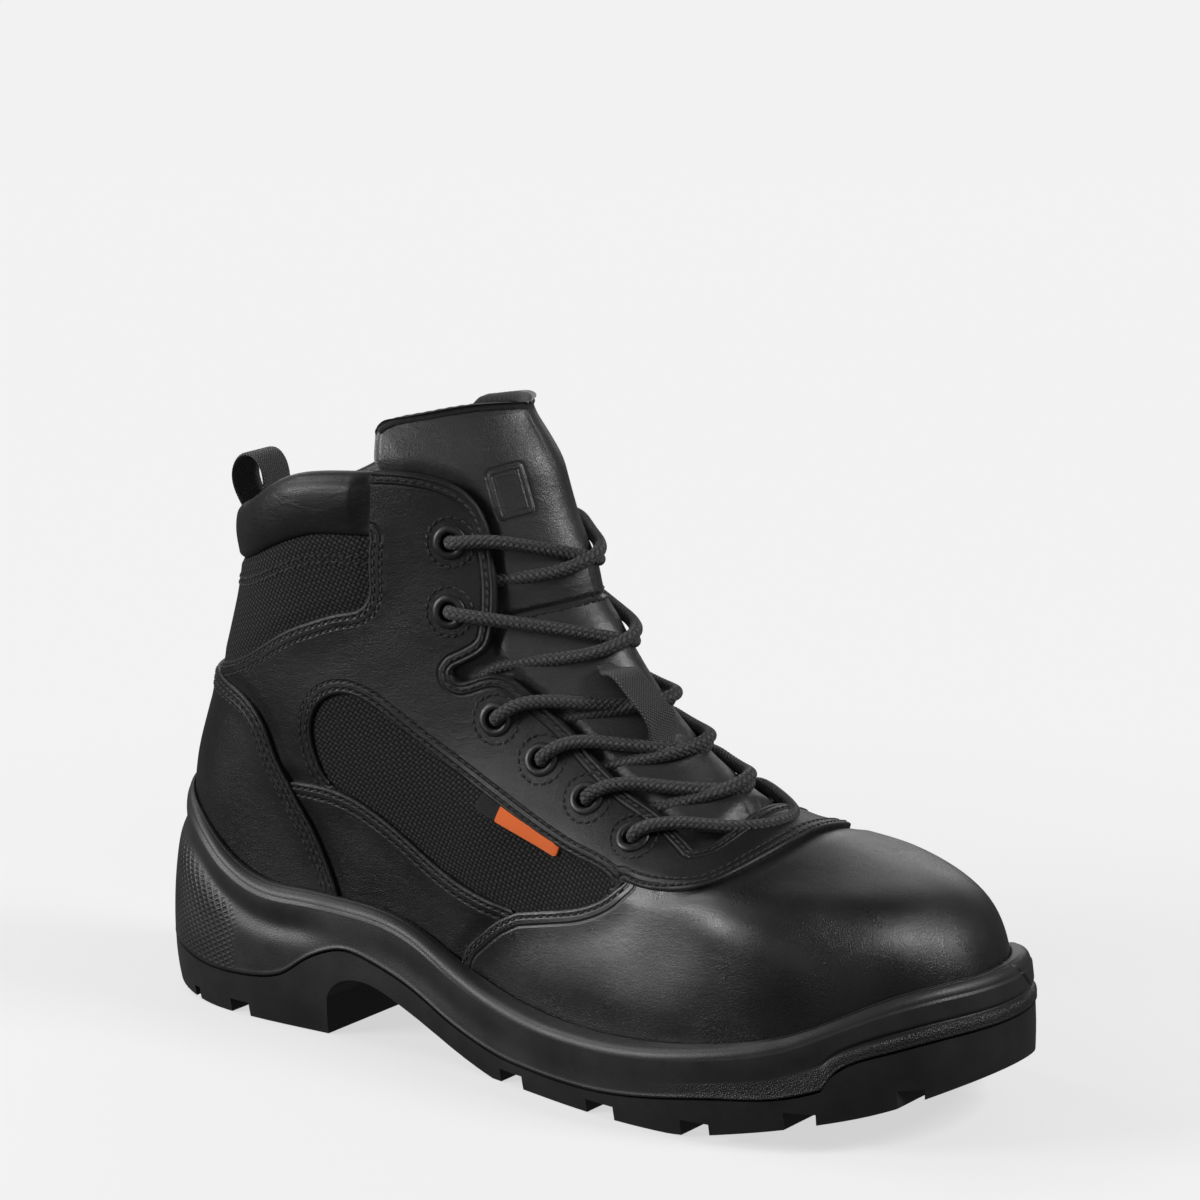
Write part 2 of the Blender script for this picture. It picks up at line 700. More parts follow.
def leather(name, rough=0.40, grain=1.0, crease=0.5, base=0.008, stitched=True, spec=0.36):
    m = Nodes(name)
    # pore and pebble grain, finer where the hide is stretched over the toe
    cells = m.voronoi(1.25, "DISTANCE_TO_EDGE")
    fine = m.voronoi(2.6, "DISTANCE_TO_EDGE")
    groove = m.ramp(cells, 0.0, 0.16, 0.0, 1.0, "SMOOTHSTEP")
    fgroove = m.ramp(fine, 0.0, 0.2, 0.0, 1.0, "SMOOTHSTEP")
    area = m.ramp(m.noise(0.03, 2.0), 0.35, 0.65, 0.35, 1.0)
    pebble = m.math("MULTIPLY", m.math("ADD", m.math("MULTIPLY", groove, 0.6), m.math("MULTIPLY", fgroove, 0.4)), area)
    micro = m.noise(3.2, 3.0, 0.6)
    wr = m.noise(0.16, 4.0, 0.62, m.vscale(m.obj, (1.0, 1.0, 2.2)), 0.8)
    h = m.math("ADD", m.math("MULTIPLY", pebble, 0.55 * grain), m.math("MULTIPLY", micro, 0.35 * grain))
    h = m.math("ADD", h, m.math("MULTIPLY", wr, 4.0 * crease))
    if stitched:
        d = m.attr("seam_d")
        for w in (1.7, 4.2):
            k = m.math("ABSOLUTE", m.math("SUBTRACT", d, w))
            h = m.math("ADD", h, m.math("MULTIPLY", m.ramp(k, 0.0, 0.75, -3.8, 0.0, "SMOOTHSTEP"), m.attr("seam_on")))
    n = m.bump(h, 0.00007, 1.0)
    tone = m.noise(0.05, 3.0, 0.5)
    scuff = m.ramp(m.noise(0.5, 6.0, 0.7), 0.62, 0.8, 0.0, 1.0)
    edge = m.ramp(m.attr("edge_d"), 0.0, 0.9, 1.0, 0.0)
    dark = grey(base * 0.8, 1.0, 1.04)
    light = grey(base * 1.5, 1.02, 0.98)
    col = m.mix(m.ramp(tone, 0.3, 0.7), dark, light)
    col = m.mix(m.math("MULTIPLY", m.math("SUBTRACT", 1.0, groove), 0.5), col, grey(base * 0.45))
    col = m.mix(m.math("MULTIPLY", edge, 0.55), col, grey(base * 3.2))
    col = m.mix(m.math("MULTIPLY", scuff, 0.35), col, grey(base * 2.4))
    r = m.math("ADD", m.ramp(tone, 0.3, 0.7, rough - 0.04, rough + 0.06), m.math("MULTIPLY", m.math("SUBTRACT", 1.0, groove), 0.12))
    r = m.math("ADD", r, m.math("MULTIPLY", scuff, 0.08))
    return m.done(col, r, n, spec=spec)


def woven(name, pitch_u=1.5, pitch_v=1.2, base=0.005, hi=0.05, skew=0.35, depth=0.0003, rough=0.55):
    """ballistic nylon: paired yarns, each over and under the crossing ones"""
    m = Nodes(name)
    s = m.sep(m.vscale(m.tc.outputs["UV"], 1.0))
    u0, v0 = s[0], s[1]
    wob = m.math("MULTIPLY", m.math("SUBTRACT", m.noise(0.08, 2.0), 0.5), 1.6)
    u1 = m.math("ADD", m.math("ADD", m.math("MULTIPLY", u0, math.cos(skew)), m.math("MULTIPLY", v0, math.sin(skew))), wob)
    v1 = m.math("ADD", m.math("SUBTRACT", m.math("MULTIPLY", v0, math.cos(skew)), m.math("MULTIPLY", u0, math.sin(skew))), wob)
    U = m.math("DIVIDE", u1, pitch_u)
    V = m.math("DIVIDE", v1, pitch_v)
    fu = m.math("FLOOR", U)
    fv = m.math("FLOOR", V)
    par = m.math("ABSOLUTE", m.math("MODULO", m.math("ADD", fu, fv), 2.0))
    over = m.ramp(par, 0.4, 0.6)
    cu = m.math("SUBTRACT", m.math("FRACT", U), 0.5)
    cv = m.math("SUBTRACT", m.math("FRACT", V), 0.5)

    def yarn(across, along):
        w = m.math("SUBTRACT", 1.0, m.math("POWER", m.math("MULTIPLY", m.math("ABSOLUTE", across), 2.05), 2.4), clamp=True)
        a = m.math("SUBTRACT", 1.0, m.math("POWER", m.math("MULTIPLY", m.math("ABSOLUTE", along), 1.9), 2.0), clamp=True)
        return m.math("MULTIPLY", m.math("POWER", w, 0.5), m.math("ADD", m.math("MULTIPLY", a, 0.75), 0.25))

    A = yarn(cv, cu)
    B = yarn(cu, cv)
    h = m.math("ADD", m.math("MULTIPLY", A, over), m.math("MULTIPLY", B, m.math("SUBTRACT", 1.0, over)))
    fil = m.math("ADD", m.math("MULTIPLY", m.math("SINE", m.math("MULTIPLY", v1, 38.0)), over),
                 m.math("MULTIPLY", m.math("SINE", m.math("MULTIPLY", u1, 38.0)), m.math("SUBTRACT", 1.0, over)))
    fuzz = m.noise(4.0, 3.0, 0.7)
    hh = m.math("ADD", h, m.math("MULTIPLY", fil, 0.05))
    hh = m.math("ADD", hh, m.math("MULTIPLY", fuzz, 0.2))
    n = m.bump(hh, depth, 1.0)
    tone = m.noise(0.7, 2.0)
    col = m.mix(m.math("POWER", h, 2.0), grey(base * 0.2), grey(hi))
    col = m.mix(m.math("MULTIPLY", over, 0.5), col, grey(base))
    col = m.mix(m.ramp(tone, 0.35, 0.75, 0.0, 0.3), col, grey(base * 1.2))
    r = m.ramp(h, 0.0, 1.0, rough + 0.3, rough)
    return m.done(col, r, n, spec=0.2)


def knit(name, base=0.02, pitch=1.6):
    m = Nodes(name)
    s = m.sep(m.tc.outputs["UV"])
    U = m.math("DIVIDE", s[0], pitch)
    V = m.math("DIVIDE", s[1], pitch * 0.8)
    row = m.math("MULTIPLY", m.math("FLOOR", V), 0.5)
    cx = m.math("SUBTRACT", m.math("FRACT", m.math("ADD", U, row)), 0.5)
    cy = m.math("SUBTRACT", m.math("FRACT", V), 0.5)
    d = m.math("SQRT", m.math("ADD", m.math("MULTIPLY", cx, cx), m.math("MULTIPLY", cy, cy)))
    hole = m.ramp(d, 0.1, 0.42, 0.0, 1.0, "SMOOTHSTEP")
    fuzz = m.noise(3.0, 4.0, 0.7)
    h = m.math("ADD", hole, m.math("MULTIPLY", fuzz, 0.5))
    col = m.mix(hole, grey(base * 0.3), grey(base * 1.6))
    col = m.mix(m.ramp(m.noise(0.05, 2.0), 0.35, 0.65, 0.0, 0.5), col, grey(base))
    return m.done(col, m.ramp(fuzz, 0.3, 0.7, 0.8, 0.95), m.bump(h, 0.0003), spec=0.3, sheen=0.25)


def ribbed(name, base=0.045, pitch=1.1, cross=0.55):
    """narrow webbing: ribs across the tape, fine warp yarns along it; UV in millimetres, U along"""
    m = Nodes(name)
    s = m.sep(m.tc.outputs["UV"])
    U = m.math("DIVIDE", s[0], pitch)
    W = m.math("DIVIDE", s[1], cross)
    shift = m.math("MULTIPLY", m.math("ABSOLUTE", m.math("MODULO", m.math("FLOOR", W), 2.0)), 0.5)
    fu = m.math("SUBTRACT", m.math("FRACT", m.math("ADD", U, shift)), 0.5)
    fw = m.math("SUBTRACT", m.math("FRACT", W), 0.5)
    a = m.math("SUBTRACT", 1.0, m.math("POWER", m.math("MULTIPLY", m.math("ABSOLUTE", fu), 2.0), 2.0), clamp=True)
    b = m.math("SUBTRACT", 1.0, m.math("POWER", m.math("MULTIPLY", m.math("ABSOLUTE", fw), 2.0), 2.5), clamp=True)
    h = m.math("MULTIPLY", m.math("POWER", a, 1.5), m.math("POWER", b, 1.0))
    fuzz = m.noise(4.0, 3.0, 0.7)
    hh = m.math("ADD", h, m.math("MULTIPLY", fuzz, 0.25))
    col = m.mix(h, grey(base * 0.1), grey(base * 3.0))
    col = m.mix(m.ramp(m.noise(0.4, 2.0), 0.35, 0.65, 0.0, 0.2), col, grey(base))
    return m.done(col, m.ramp(h, 0.0, 1.0, 0.85, 0.55), m.bump(hh, 0.00035), spec=0.4, sheen=0.15)


def polymer(name, base=0.014, rough=0.55, stipple=0.6, spec=0.45, wave=0.3, scale=2.2, patch=False):
    """moulded polyurethane or rubber: fine stipple, faint flow marks, scuffed high edges"""
    m = Nodes(name)
    st = m.voronoi(scale, "SMOOTH_F1")
    fine = m.noise(scale * 1.8, 3.0, 0.65)
    flow = m.noise(0.07, 3.0, 0.5, m.vscale(m.obj, (0.6, 0.6, 2.0)), 0.6)
    amt = stipple
    h = m.math("ADD", m.math("MULTIPLY", st, 0.9 * amt), m.math("MULTIPLY", fine, 0.8 * amt))
    h = m.math("ADD", h, m.math("MULTIPLY", flow, 1.2 * wave))
    if patch:
        band = m.attr("stipple")
        h = m.math("ADD", h, m.math("MULTIPLY", m.math("MULTIPLY", m.voronoi(1.9), band), 2.6))
        # crossing diagonal ribs moulded into the heel sides
        s = m.sep(m.tc.outputs["UV"])
        k1 = m.math("SINE", m.math("MULTIPLY", m.math("ADD", s[0], m.math("MULTIPLY", s[1], 0.55)), 2 * math.pi / 2.7))
        k2 = m.math("SINE", m.math("MULTIPLY", m.math("SUBTRACT", s[0], m.math("MULTIPLY", s[1], 1.9)), 2 * math.pi / 3.4))
        net = m.math("MULTIPLY", m.math("MAXIMUM", k1, k2), m.attr("hatch"))
        h = m.math("ADD", h, m.math("MULTIPLY", net, 1.5))
    tone = m.noise(0.06, 4.0, 0.55)
    dust = m.ramp(m.noise(0.9, 6.0, 0.75), 0.6, 0.8, 0.0, 1.0)
    col = m.mix(m.ramp(tone, 0.3, 0.7), grey(base * 0.85), grey(base * 1.35, 1.0, 1.03))
    col = m.mix(m.math("MULTIPLY", dust, 0.3), col, grey(base * 2.6))
    if patch:
        col = m.mix(m.math("MULTIPLY", m.attr("crest"), 0.5), col, grey(base * 2.6))
    r = m.math("ADD", m.ramp(tone, 0.3, 0.7, rough - 0.05, rough + 0.06), m.math("MULTIPLY", dust, 0.1))
    return m.done(col, r, m.bump(h, 0.00010), spec=spec)


def metal_paint(name, base=0.012, rough=0.40):
    m = Nodes(name)
    tone = m.noise(0.6, 3.0)
    worn = m.ramp(m.noise(0.9, 5.0, 0.7), 0.63, 0.72)
    orange = m.noise(1.6, 2.0)
    col = m.mix(m.ramp(tone, 0.3, 0.7), grey(base * 0.8), grey(base * 1.6))
    col = m.mix(m.math("MULTIPLY", worn, 0.4), col, grey(base * 5))
    r = m.ramp(tone, 0.3, 0.7, rough - 0.05, rough + 0.08)
    return m.done(col, r, m.bump(orange, 0.00006), spec=0.5)


def thread(name, base=0.013):
    m = Nodes(name)
    s = m.sep(m.tc.outputs["UV"])
    tw = m.math("SINE", m.math("MULTIPLY", m.math("ADD", s[0], m.math("MULTIPLY", s[1], 3.2)), 11.0))
    fuzz = m.noise(5.0, 3.0, 0.7)
    h = m.math("ADD", m.math("MULTIPLY", tw, 0.5), fuzz)
    col = m.mix(m.ramp(m.noise(0.3, 2.0), 0.3, 0.7), grey(base * 0.7), grey(base * 1.7))
    col = m.mix(m.ramp(tw, -1.0, 1.0, 0.5, 0.0), col, grey(base * 0.3))
    return m.done(col, m.ramp(fuzz, 0.3, 0.7, 0.36, 0.55), m.bump(h, 0.0001), spec=0.5, sheen=0.05)


def braid(name):
    m = Nodes(name)
    light = m.attr("light")
    lift = m.attr("lift")
    s = m.sep(m.tc.outputs["UV"])
    fil = m.math("SINE", m.math("MULTIPLY", m.attr("along"), 26.0))
    fuzz = m.noise(4.0, 3.0, 0.7)
    col = m.mix(light, grey(0.02), grey(0.095))
    col = m.mix(m.ramp(lift, 0.1, 0.75, 1.0, 0.0), col, grey(0.002))
    col = m.mix(m.ramp(fuzz, 0.35, 0.75, 0.0, 0.2), col, grey(0.02))
    h = m.math("ADD", m.math("MULTIPLY", fil, 0.35), m.math("MULTIPLY", fuzz, 0.6))
    return m.done(col, m.ramp(fuzz, 0.3, 0.7, 0.5, 0.68), m.bump(h, 0.00012), spec=0.45, sheen=0.12)


def plain_cloth(name, col_a, col_b, pitch=0.5, rough=0.7, glow=0.0):
    m = Nodes(name)
    s = m.sep(m.tc.outputs["UV"])
    a = m.math("SINE", m.math("MULTIPLY", s[0], 2 * math.pi / pitch))
    b = m.math("SINE", m.math("MULTIPLY", s[1], 2 * math.pi / pitch))
    h = m.math("MULTIPLY", a, b)
    fuzz = m.noise(3.0, 3.0, 0.7)
    f = m.ramp(m.math("ADD", h, m.math("MULTIPLY", fuzz, 0.8)), -0.6, 1.4)
    col = m.mix(f, col_a, col_b)
    if glow:
        # fluorescent dye gives back more orange than falls on it
        m.link(col, m.b.inputs["Emission Color"])
        m.b.inputs["Emission Strength"].default_value = glow
    return m.done(col, m.ramp(fuzz, 0.3, 0.7, rough - 0.08, rough + 0.1), m.bump(m.math("ADD", h, fuzz), 0.00012), spec=0.35, sheen=0.15)


def steel_mat(name, base=0.35, rough=0.38):
    m = Nodes(name)
    st = m.noise(1.2, 5.0, 0.7, m.vscale(m.obj, (0.2, 1.0, 1.0)))
    col = m.mix(m.ramp(m.noise(0.1, 3.0), 0.3, 0.7), grey(base * 0.8), grey(base * 1.15, 1.0, 1.03))
    return m.done(col, m.ramp(st, 0.3, 0.7, rough - 0.06, rough + 0.12), m.bump(st, 0.00004), spec=0.5, metal=1.0)


def fibre(name, a, b, scale=0.8):
    m = Nodes(name)
    f = m.noise(scale, 6.0, 0.75, None, 1.2)
    return m.done(m.mix(m.ramp(f, 0.3, 0.7), a, b), m.ramp(f, 0.3, 0.7, 0.75, 0.92), m.bump(f, 0.0003), spec=0.3)


MAT = {
    "leather": leather("upper_leather", rough=0.36, grain=1.7, crease=0.55),
    "toe": leather("toe_leather", rough=0.29, grain=1.3, crease=0.28, spec=0.70),
    "soft": leather("padded_leather", rough=0.38, grain=0.45, crease=0.7, base=0.009, stitched=False, spec=0.42),
    "tongue": leather("tongue_leather", rough=0.35, grain=1.1, crease=0.8, stitched=False, spec=0.8, base=0.020),
    "nylon": woven("ballistic_nylon"),
    "nylon_fine": woven("ballistic_nylon_fine", 1.2, 1.0, skew=0.1),
    "lining": knit("lining_fabric"),
    "web": ribbed("webbing"),
    "lace": braid("lace_cord"),
    "thread": thread("stitch_thread"),
    "midsole": polymer("midsole_polyurethane", base=0.022, rough=0.44, stipple=0.45, patch=True),
    "outsole": polymer("outsole_rubber", base=0.019, rough=0.44, stipple=0.3, wave=0.4),
    "eyelet": metal_paint("eyelet_paint"),
    "orange": plain_cloth("label_orange", (0.80, 0.12, 0.018, 1), (1.0, 0.22, 0.04, 1), glow=0.22),
    "label_black": plain_cloth("label_black", (0.002, 0.002, 0.002, 1), (0.010, 0.010, 0.011, 1)),
    "binding": plain_cloth("binding_tape", (0.005, 0.005, 0.006, 1), (0.035, 0.035, 0.036, 1), pitch=1.0, rough=0.85),
    "steel": steel_mat("pressed_steel"),
    "shank": steel_mat("shank_steel", 0.28, 0.45),
    "board": fibre("insole_board_fibre", (0.20, 0.14, 0.08, 1), (0.33, 0.24, 0.15, 1)),
    "foam": fibre("foam_cells", (0.02, 0.02, 0.02, 1), (0.07, 0.07, 0.072, 1), 1.4),
    "stiff": fibre("stiffener_fibre", (0.06, 0.05, 0.04, 1), (0.14, 0.12, 0.10, 1)),
    "strip": polymer("cap_edge_rubber", base=0.02, rough=0.6),
    "tip": metal_paint("lace_tip_plastic", 0.015, 0.35),
}


# ---------------- seam lines in side view ----------------
COUNTER_EDGE = [(-66.5, 8), (-67.5, 30), (-69.3, 45.6), (-71.5, 51), (-74.6, 57.3), (-79, 65.1), (-84.5, 72.9), (-88, 78.6)]
COUNTER_TOP = [(-88, 78.6), (-92, 84.5), (-94.6, 90), (-97.4, 96), (-101.5, 100.8), (-107, 104.2), (-115, 106.2), (-160, 106.5)]
WRAP_TOP = [(-88, 78.6), (-80.4, 79.3), (-72.3, 79.0), (-62.3, 77.0), (-52.4, 73.1), (-42.3, 68.0), (-32.1, 62.2), (-21.6, 57.6),
            (-10.9, 54.6), (3, 52.3)]
VAMP_REAR_LOW = [(3, 52.3), (-5.5, 47.5), (-12.1, 42), (-17.4, 36.6), (-19.2, 32.0), (-20, 8)]
VAMP_REAR_UP = [(3, 52.3), (12.9, 54.6), (24.1, 57.3), (32.8, 60.6), (39, 64.4), (44.2, 69.6)]
D_LINE = [(44.2, 69.6), (50, 69.0), (56.7, 69.3), (63.8, 70.4), (69.8, 71.9), (75.4, 74.0), (79.7, 76.8), (83.5, 80.2), (88, 87)]
WINDOW = [(-72.5, 81.2), (-76.8, 88), (-78.6, 97.5), (-76.4, 104.4), (-71, 109), (-64, 110.6), (-56.5, 109), (-43.7, 102.3), (-26.1, 93.2),
          (-0.1, 81.6), (22.9, 73.2), (35.5, 70.6), (39.6, 68.4), (36.6, 63.4), (24.1, 57.4), (13, 54.6), (2, 52.6), (-10.9, 54.6), (-21.6, 57.4),
          (-32.1, 61.8), (-42.3, 67.4), (-52.4, 72.6), (-62.3, 76.8)]
ANKLE_LOW = [(-150, 107), (-125, 110.0), (-115, 113), (-105, 117.5), (-97, 122.2), (-88.4, 127.3), (-76.7, 132.4), (-65.6, 136.2),
             (-58.7, 138.6), (-56.3, 141.5), (-55.8, 149.8), (-55.6, 161.4)]
COLLAR_LOW = [(-55.6, 161.4), (-62.2, 161.0), (-69, 160.6), (-76.3, 159.8), (-84, 157.7), (-92.5, 154.4), (-102.9, 149.6), (-112, 146.2),
              (-122, 144.8), (-150, 144.6)]
COLLAR_TOP = [(-150, 162.5), (-121, 163.0), (-114, 164.6), (-106, 168.0), (-98, 172.6), (-88, 177.0), (-75, 179.6), (-62, 180.8),
              (-55.6, 181.2)]
THROAT_TOP = [(-55.6, 182), (-45.6, 182.2), (-35, 180.8), (-28.2, 178.0), (-23.3, 173.4), (-19.6, 166.6), (-17.6, 158.8), (-16.0, 151),
              (-15.1, 142.5), (-15.2, 136.0), (-16.6, 130.0), (-20.5, 126.4), (-26.2, 123.2)]
THROAT_NOTCH = [(-26.2, 123.2), (-27.4, 121.2), (-26.0, 119.6), (-21, 120.2), (-14.4, 122.4), (-11, 122.3), (-7.6, 121), (-4, 118.7), (2.8, 114.4),
                (9, 110.3), (14.5, 106.3), (19.8, 102.0), (26.7, 97.4), (33.8, 93.2), (45.2, 88.2), (54.7, 83.6), (61.8, 80.4)]
THROAT_END = [(61.8, 80.4), (65.6, 82.0), (67.8, 85.4), (70.5, 92)]
RIM = [(-170, 74), (-153, 70), (-146, 67), (-134, 62.5), (-119, 54.5), (-107, 48.5), (-96, 45.5), (-81, 45), (-65, 44.5),
       (-49, 43.2), (-36.7, 40), (-20, 32.8), (5.6, 25.5), (35.4, 23.8), (65.4, 26), (85.5, 29.3), (109, 35.2), (124.8, 42),
       (138.5, 47.5), (154, 50), (170, 50)]
PART = [(-170, 17), (-131, 15.5), (-123, 14.1), (-110.6, 13.5), (-97.4, 14.4), (-86.7, 17.3), (-78.4, 22.9), (-70.3, 27.0),
        (-62.3, 28.8), (-53.3, 27.3), (-43.3, 24.2), (-32.8, 20.0), (-22.1, 15.0), (-10.9, 11.0), (3.7, 7.8), (15.4, 7.2),
        (29.6, 7.0), (42.8, 7.5), (67, 10.3), (88, 13.5), (106.9, 15.9), (118.5, 19.5)]
PART_TOE = [(118.5, 19.5), (122.5, 25.5), (127.4, 28.5), (134.3, 30.7), (143.6, 33.3), (150.6, 34.5), (170, 35)]
SIDE_OFF = cubic([-6, 0, 8, 25, 40, 55, 72], [-4.6, -2.5, -0.9, 0, -0.8, -3, -6.5])
rim_z = cubic(*zip(*RIM))


def line_fn(*segs):
    P = np.concatenate([dense(s, "s", 0.5) for s in segs])
    o = np.argsort(P[:, 0])
    return lambda x: np.interp(x, P[o, 0], P[o, 1])


part_z = line_fn(PART, PART_TOE)

for k in ("outsole", "midsole", "shank", "insole_board", "steel_toe_cap", "cap_edge_strip", "heel_stiffener", "foam_interlining"):
    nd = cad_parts[k]
    nd.data.materials.clear()
    nd.data.materials.append({"outsole": MAT["outsole"], "midsole": MAT["midsole"], "shank": MAT["shank"], "insole_board": MAT["board"],
                              "steel_toe_cap": MAT["steel"], "cap_edge_strip": MAT["strip"], "heel_stiffener": MAT["stiff"],
                              "foam_interlining": MAT["foam"]}[k])

EYE = [(-30.0, 161.6), (-28.9, 140.4), (-11.5, 109.0), (5.3, 98.8), (22.9, 89.6), (42.0, 81.4)]


def spot(x, z, side):
    P = place(np.array([x], float), np.array([z], float), np.array([side], float))
    return P[0], surf_normals(P)[0]


EYES = {s: [spot(x, z, s) for x, z in EYE] for s in (-1, 1)}


def panel(name, poly, side, t_base, t_in, over=(), under=(), rows=(), mat="leather", replaces=(), ybox=None,
          holes=(), rnd=0.55, extra=None, levels=(0.3, 0.8, 1.6), seam_lines=None, body="boot", rim_clip=True, fold=()):
    """a leather or textile piece cut from the last: over = edges that lie on a neighbour, under = edges tucked below one,
    fold = turned edges, rows = (line, offsets) of stitching"""
    A, T = cut_region(poly, side)

    def geo(A):
        P = place(A[:, 0], A[:, 1], A[:, 2])
        return P, surf_normals(P)

    P, N = geo(A)
    if ybox is not None:
        F = ybox(P)
        A, T, _ = split(A, T, F)
        P, N = geo(A)
    if rim_clip:
        F = A[:, 1] - (rim_z(A[:, 0]) - 7.0)
        A, T, _ = split(A, T, F)
        P, N = geo(A)
    for c, r in holes:
        F = np.linalg.norm(P - c, axis=1) - r
        if (F < 0).any():
            A, T, _ = split(A, T, F)
            P, N = geo(A)
    edges = list(over) + list(fold)
    if edges:
        for lv in levels:
            Do = np.min([on_surface(e[0], A, N)[0] for e in edges], axis=0)
            A, T, _ = split(A, T, Do, lv, keep_both=True)
            P, N = geo(A)
    t = np.full(len(A), float(t_base))
    edge_d = np.full(len(A), 50.0)
    for e, lift in over:
        D, K = on_surface(e, A, N)
        t -= lift * (1 - smooth(D / 11.0))
        edge_d = np.minimum(edge_d, D)
        t += np.where(D < 0.8, rnd * (1 - np.sqrt(np.clip(1 - (1 - D / 0.8) ** 2, 0, 1))), 0)
    for e, r in fold:
        D, K = on_surface(e, A, N)
        edge_d = np.minimum(edge_d, D + 0.3)
        t += np.where(D < r, 0.8 * r * (1 - np.sqrt(np.clip(1 - (1 - D / r) ** 2, 0, 1))), 0)
    for e, sink in under:
        D, K = on_surface(e, A, N)
        t += sink * (1 - smooth(D / 6.0))
    seam_d = np.full(len(A), 50.0)
    for ln, ws in rows:
        D, K = on_surface(ln, A, N)
        seam_d = np.minimum(seam_d, D)
    # the hide is not perfectly even
    x, z = A[:, 0], A[:, 1]
    t += 0.10 * np.sin(x / 9.0 + 2.2 * np.sin(z / 13.0)) * np.sin(z / 8.0 + 1.3 * np.sin(x / 15.0))
    if extra is not None:
        t = extra(A, P, N, t)
    t_in_a = np.maximum(np.full(len(A), float(t_in)), t + 0.3)
    ob, O, P, N, T = shell(name, A, T, t, t_in_a, MAT[mat], body,
                           {"edge_d": edge_d, "seam_d": seam_d, "seam_on": np.ones(len(A)) * (1.0 if rows else 0.0)}, replaces, P, N)
    for ln, ws in rows:
        D, K = on_surface(ln, A, N)
        for w in ws:
            for p, q in isolines(O, N, T, D, K, w):
                ok = p[:, 2] > rim_z(p[:, 0]) + 0.5
                if ok.mean() < 0.05:
                    continue
                idx = np.where(ok)[0]
                cuts = np.split(idx, np.where(np.diff(idx) > 1)[0] + 1)
                for c in cuts:
                    if len(c) > 3:
                        stitch_path("stitch_" + name, p[c], q[c])
    return ob, A, O, P, N, T


L_D = dense(D_LINE)
L_VL = dense(VAMP_REAR_LOW)
L_VU = dense(VAMP_REAR_UP)
L_WRAP = dense(WRAP_TOP)
L_CE = dense(COUNTER_EDGE)
L_CT = dense(COUNTER_TOP)
L_AL = dense(ANKLE_LOW)
L_CL = dense(COLLAR_LOW)
L_COLTOP = dense(COLLAR_TOP)
L_TT = dense(THROAT_TOP)
L_TN = dense(THROAT_NOTCH)
L_TE = dense(THROAT_END)
L_THROAT = np.concatenate([L_TT, L_TN, L_TE])
W_ALL = closed_dense(WINDOW)
_top = (W_ALL[:, 1] > np.interp(W_ALL[:, 0], [-80, -72.5, 39.6, 45], [81.2, 81.2, 68.4, 68.4]))
# upper edge of the window belongs to the quarter, lower edge to the side panel and vamp
i0 = int(np.argmin(np.hypot(W_ALL[:, 0] + 72.5, W_ALL[:, 1] - 81.2)))
i1 = int(np.argmin(np.hypot(W_ALL[:, 0] - 39.6, W_ALL[:, 1] - 68.4)))
W_ROLL = np.roll(W_ALL, -i0, 0)
k1 = (i1 - i0) % len(W_ALL)
L_WTOP = W_ROLL[:k1 + 1]
L_WBOT = np.concatenate([W_ROLL[k1:], W_ROLL[:1]])
COLLAR_X = np.array([(-55.6, 161.4), (-55.6, 171), (-55.6, 182.0)], float)

print("panels")
# vamp
vamp_poly = loop(("s", D_LINE[::-1]), ("s", VAMP_REAR_UP[::-1]), ("s", VAMP_REAR_LOW), ("l", [(-20, 8), (180, 8), (180, 100), (88, 87)]))
panel("vamp", vamp_poly, 0, -0.15, 2.0, over=[(np.concatenate([L_VU[::-1], L_VL]), 0.8)], under=[(L_D, 0.9)],
      rows=[(np.concatenate([L_VU[::-1], L_VL]), [1.6])], mat="toe", replaces=["vamp"])


def vamp_keep(P):
    return np.where(P[:, 0] >= 40, 19.0 - P[:, 1], -np.sign(P[:, 1]) * 5.0)


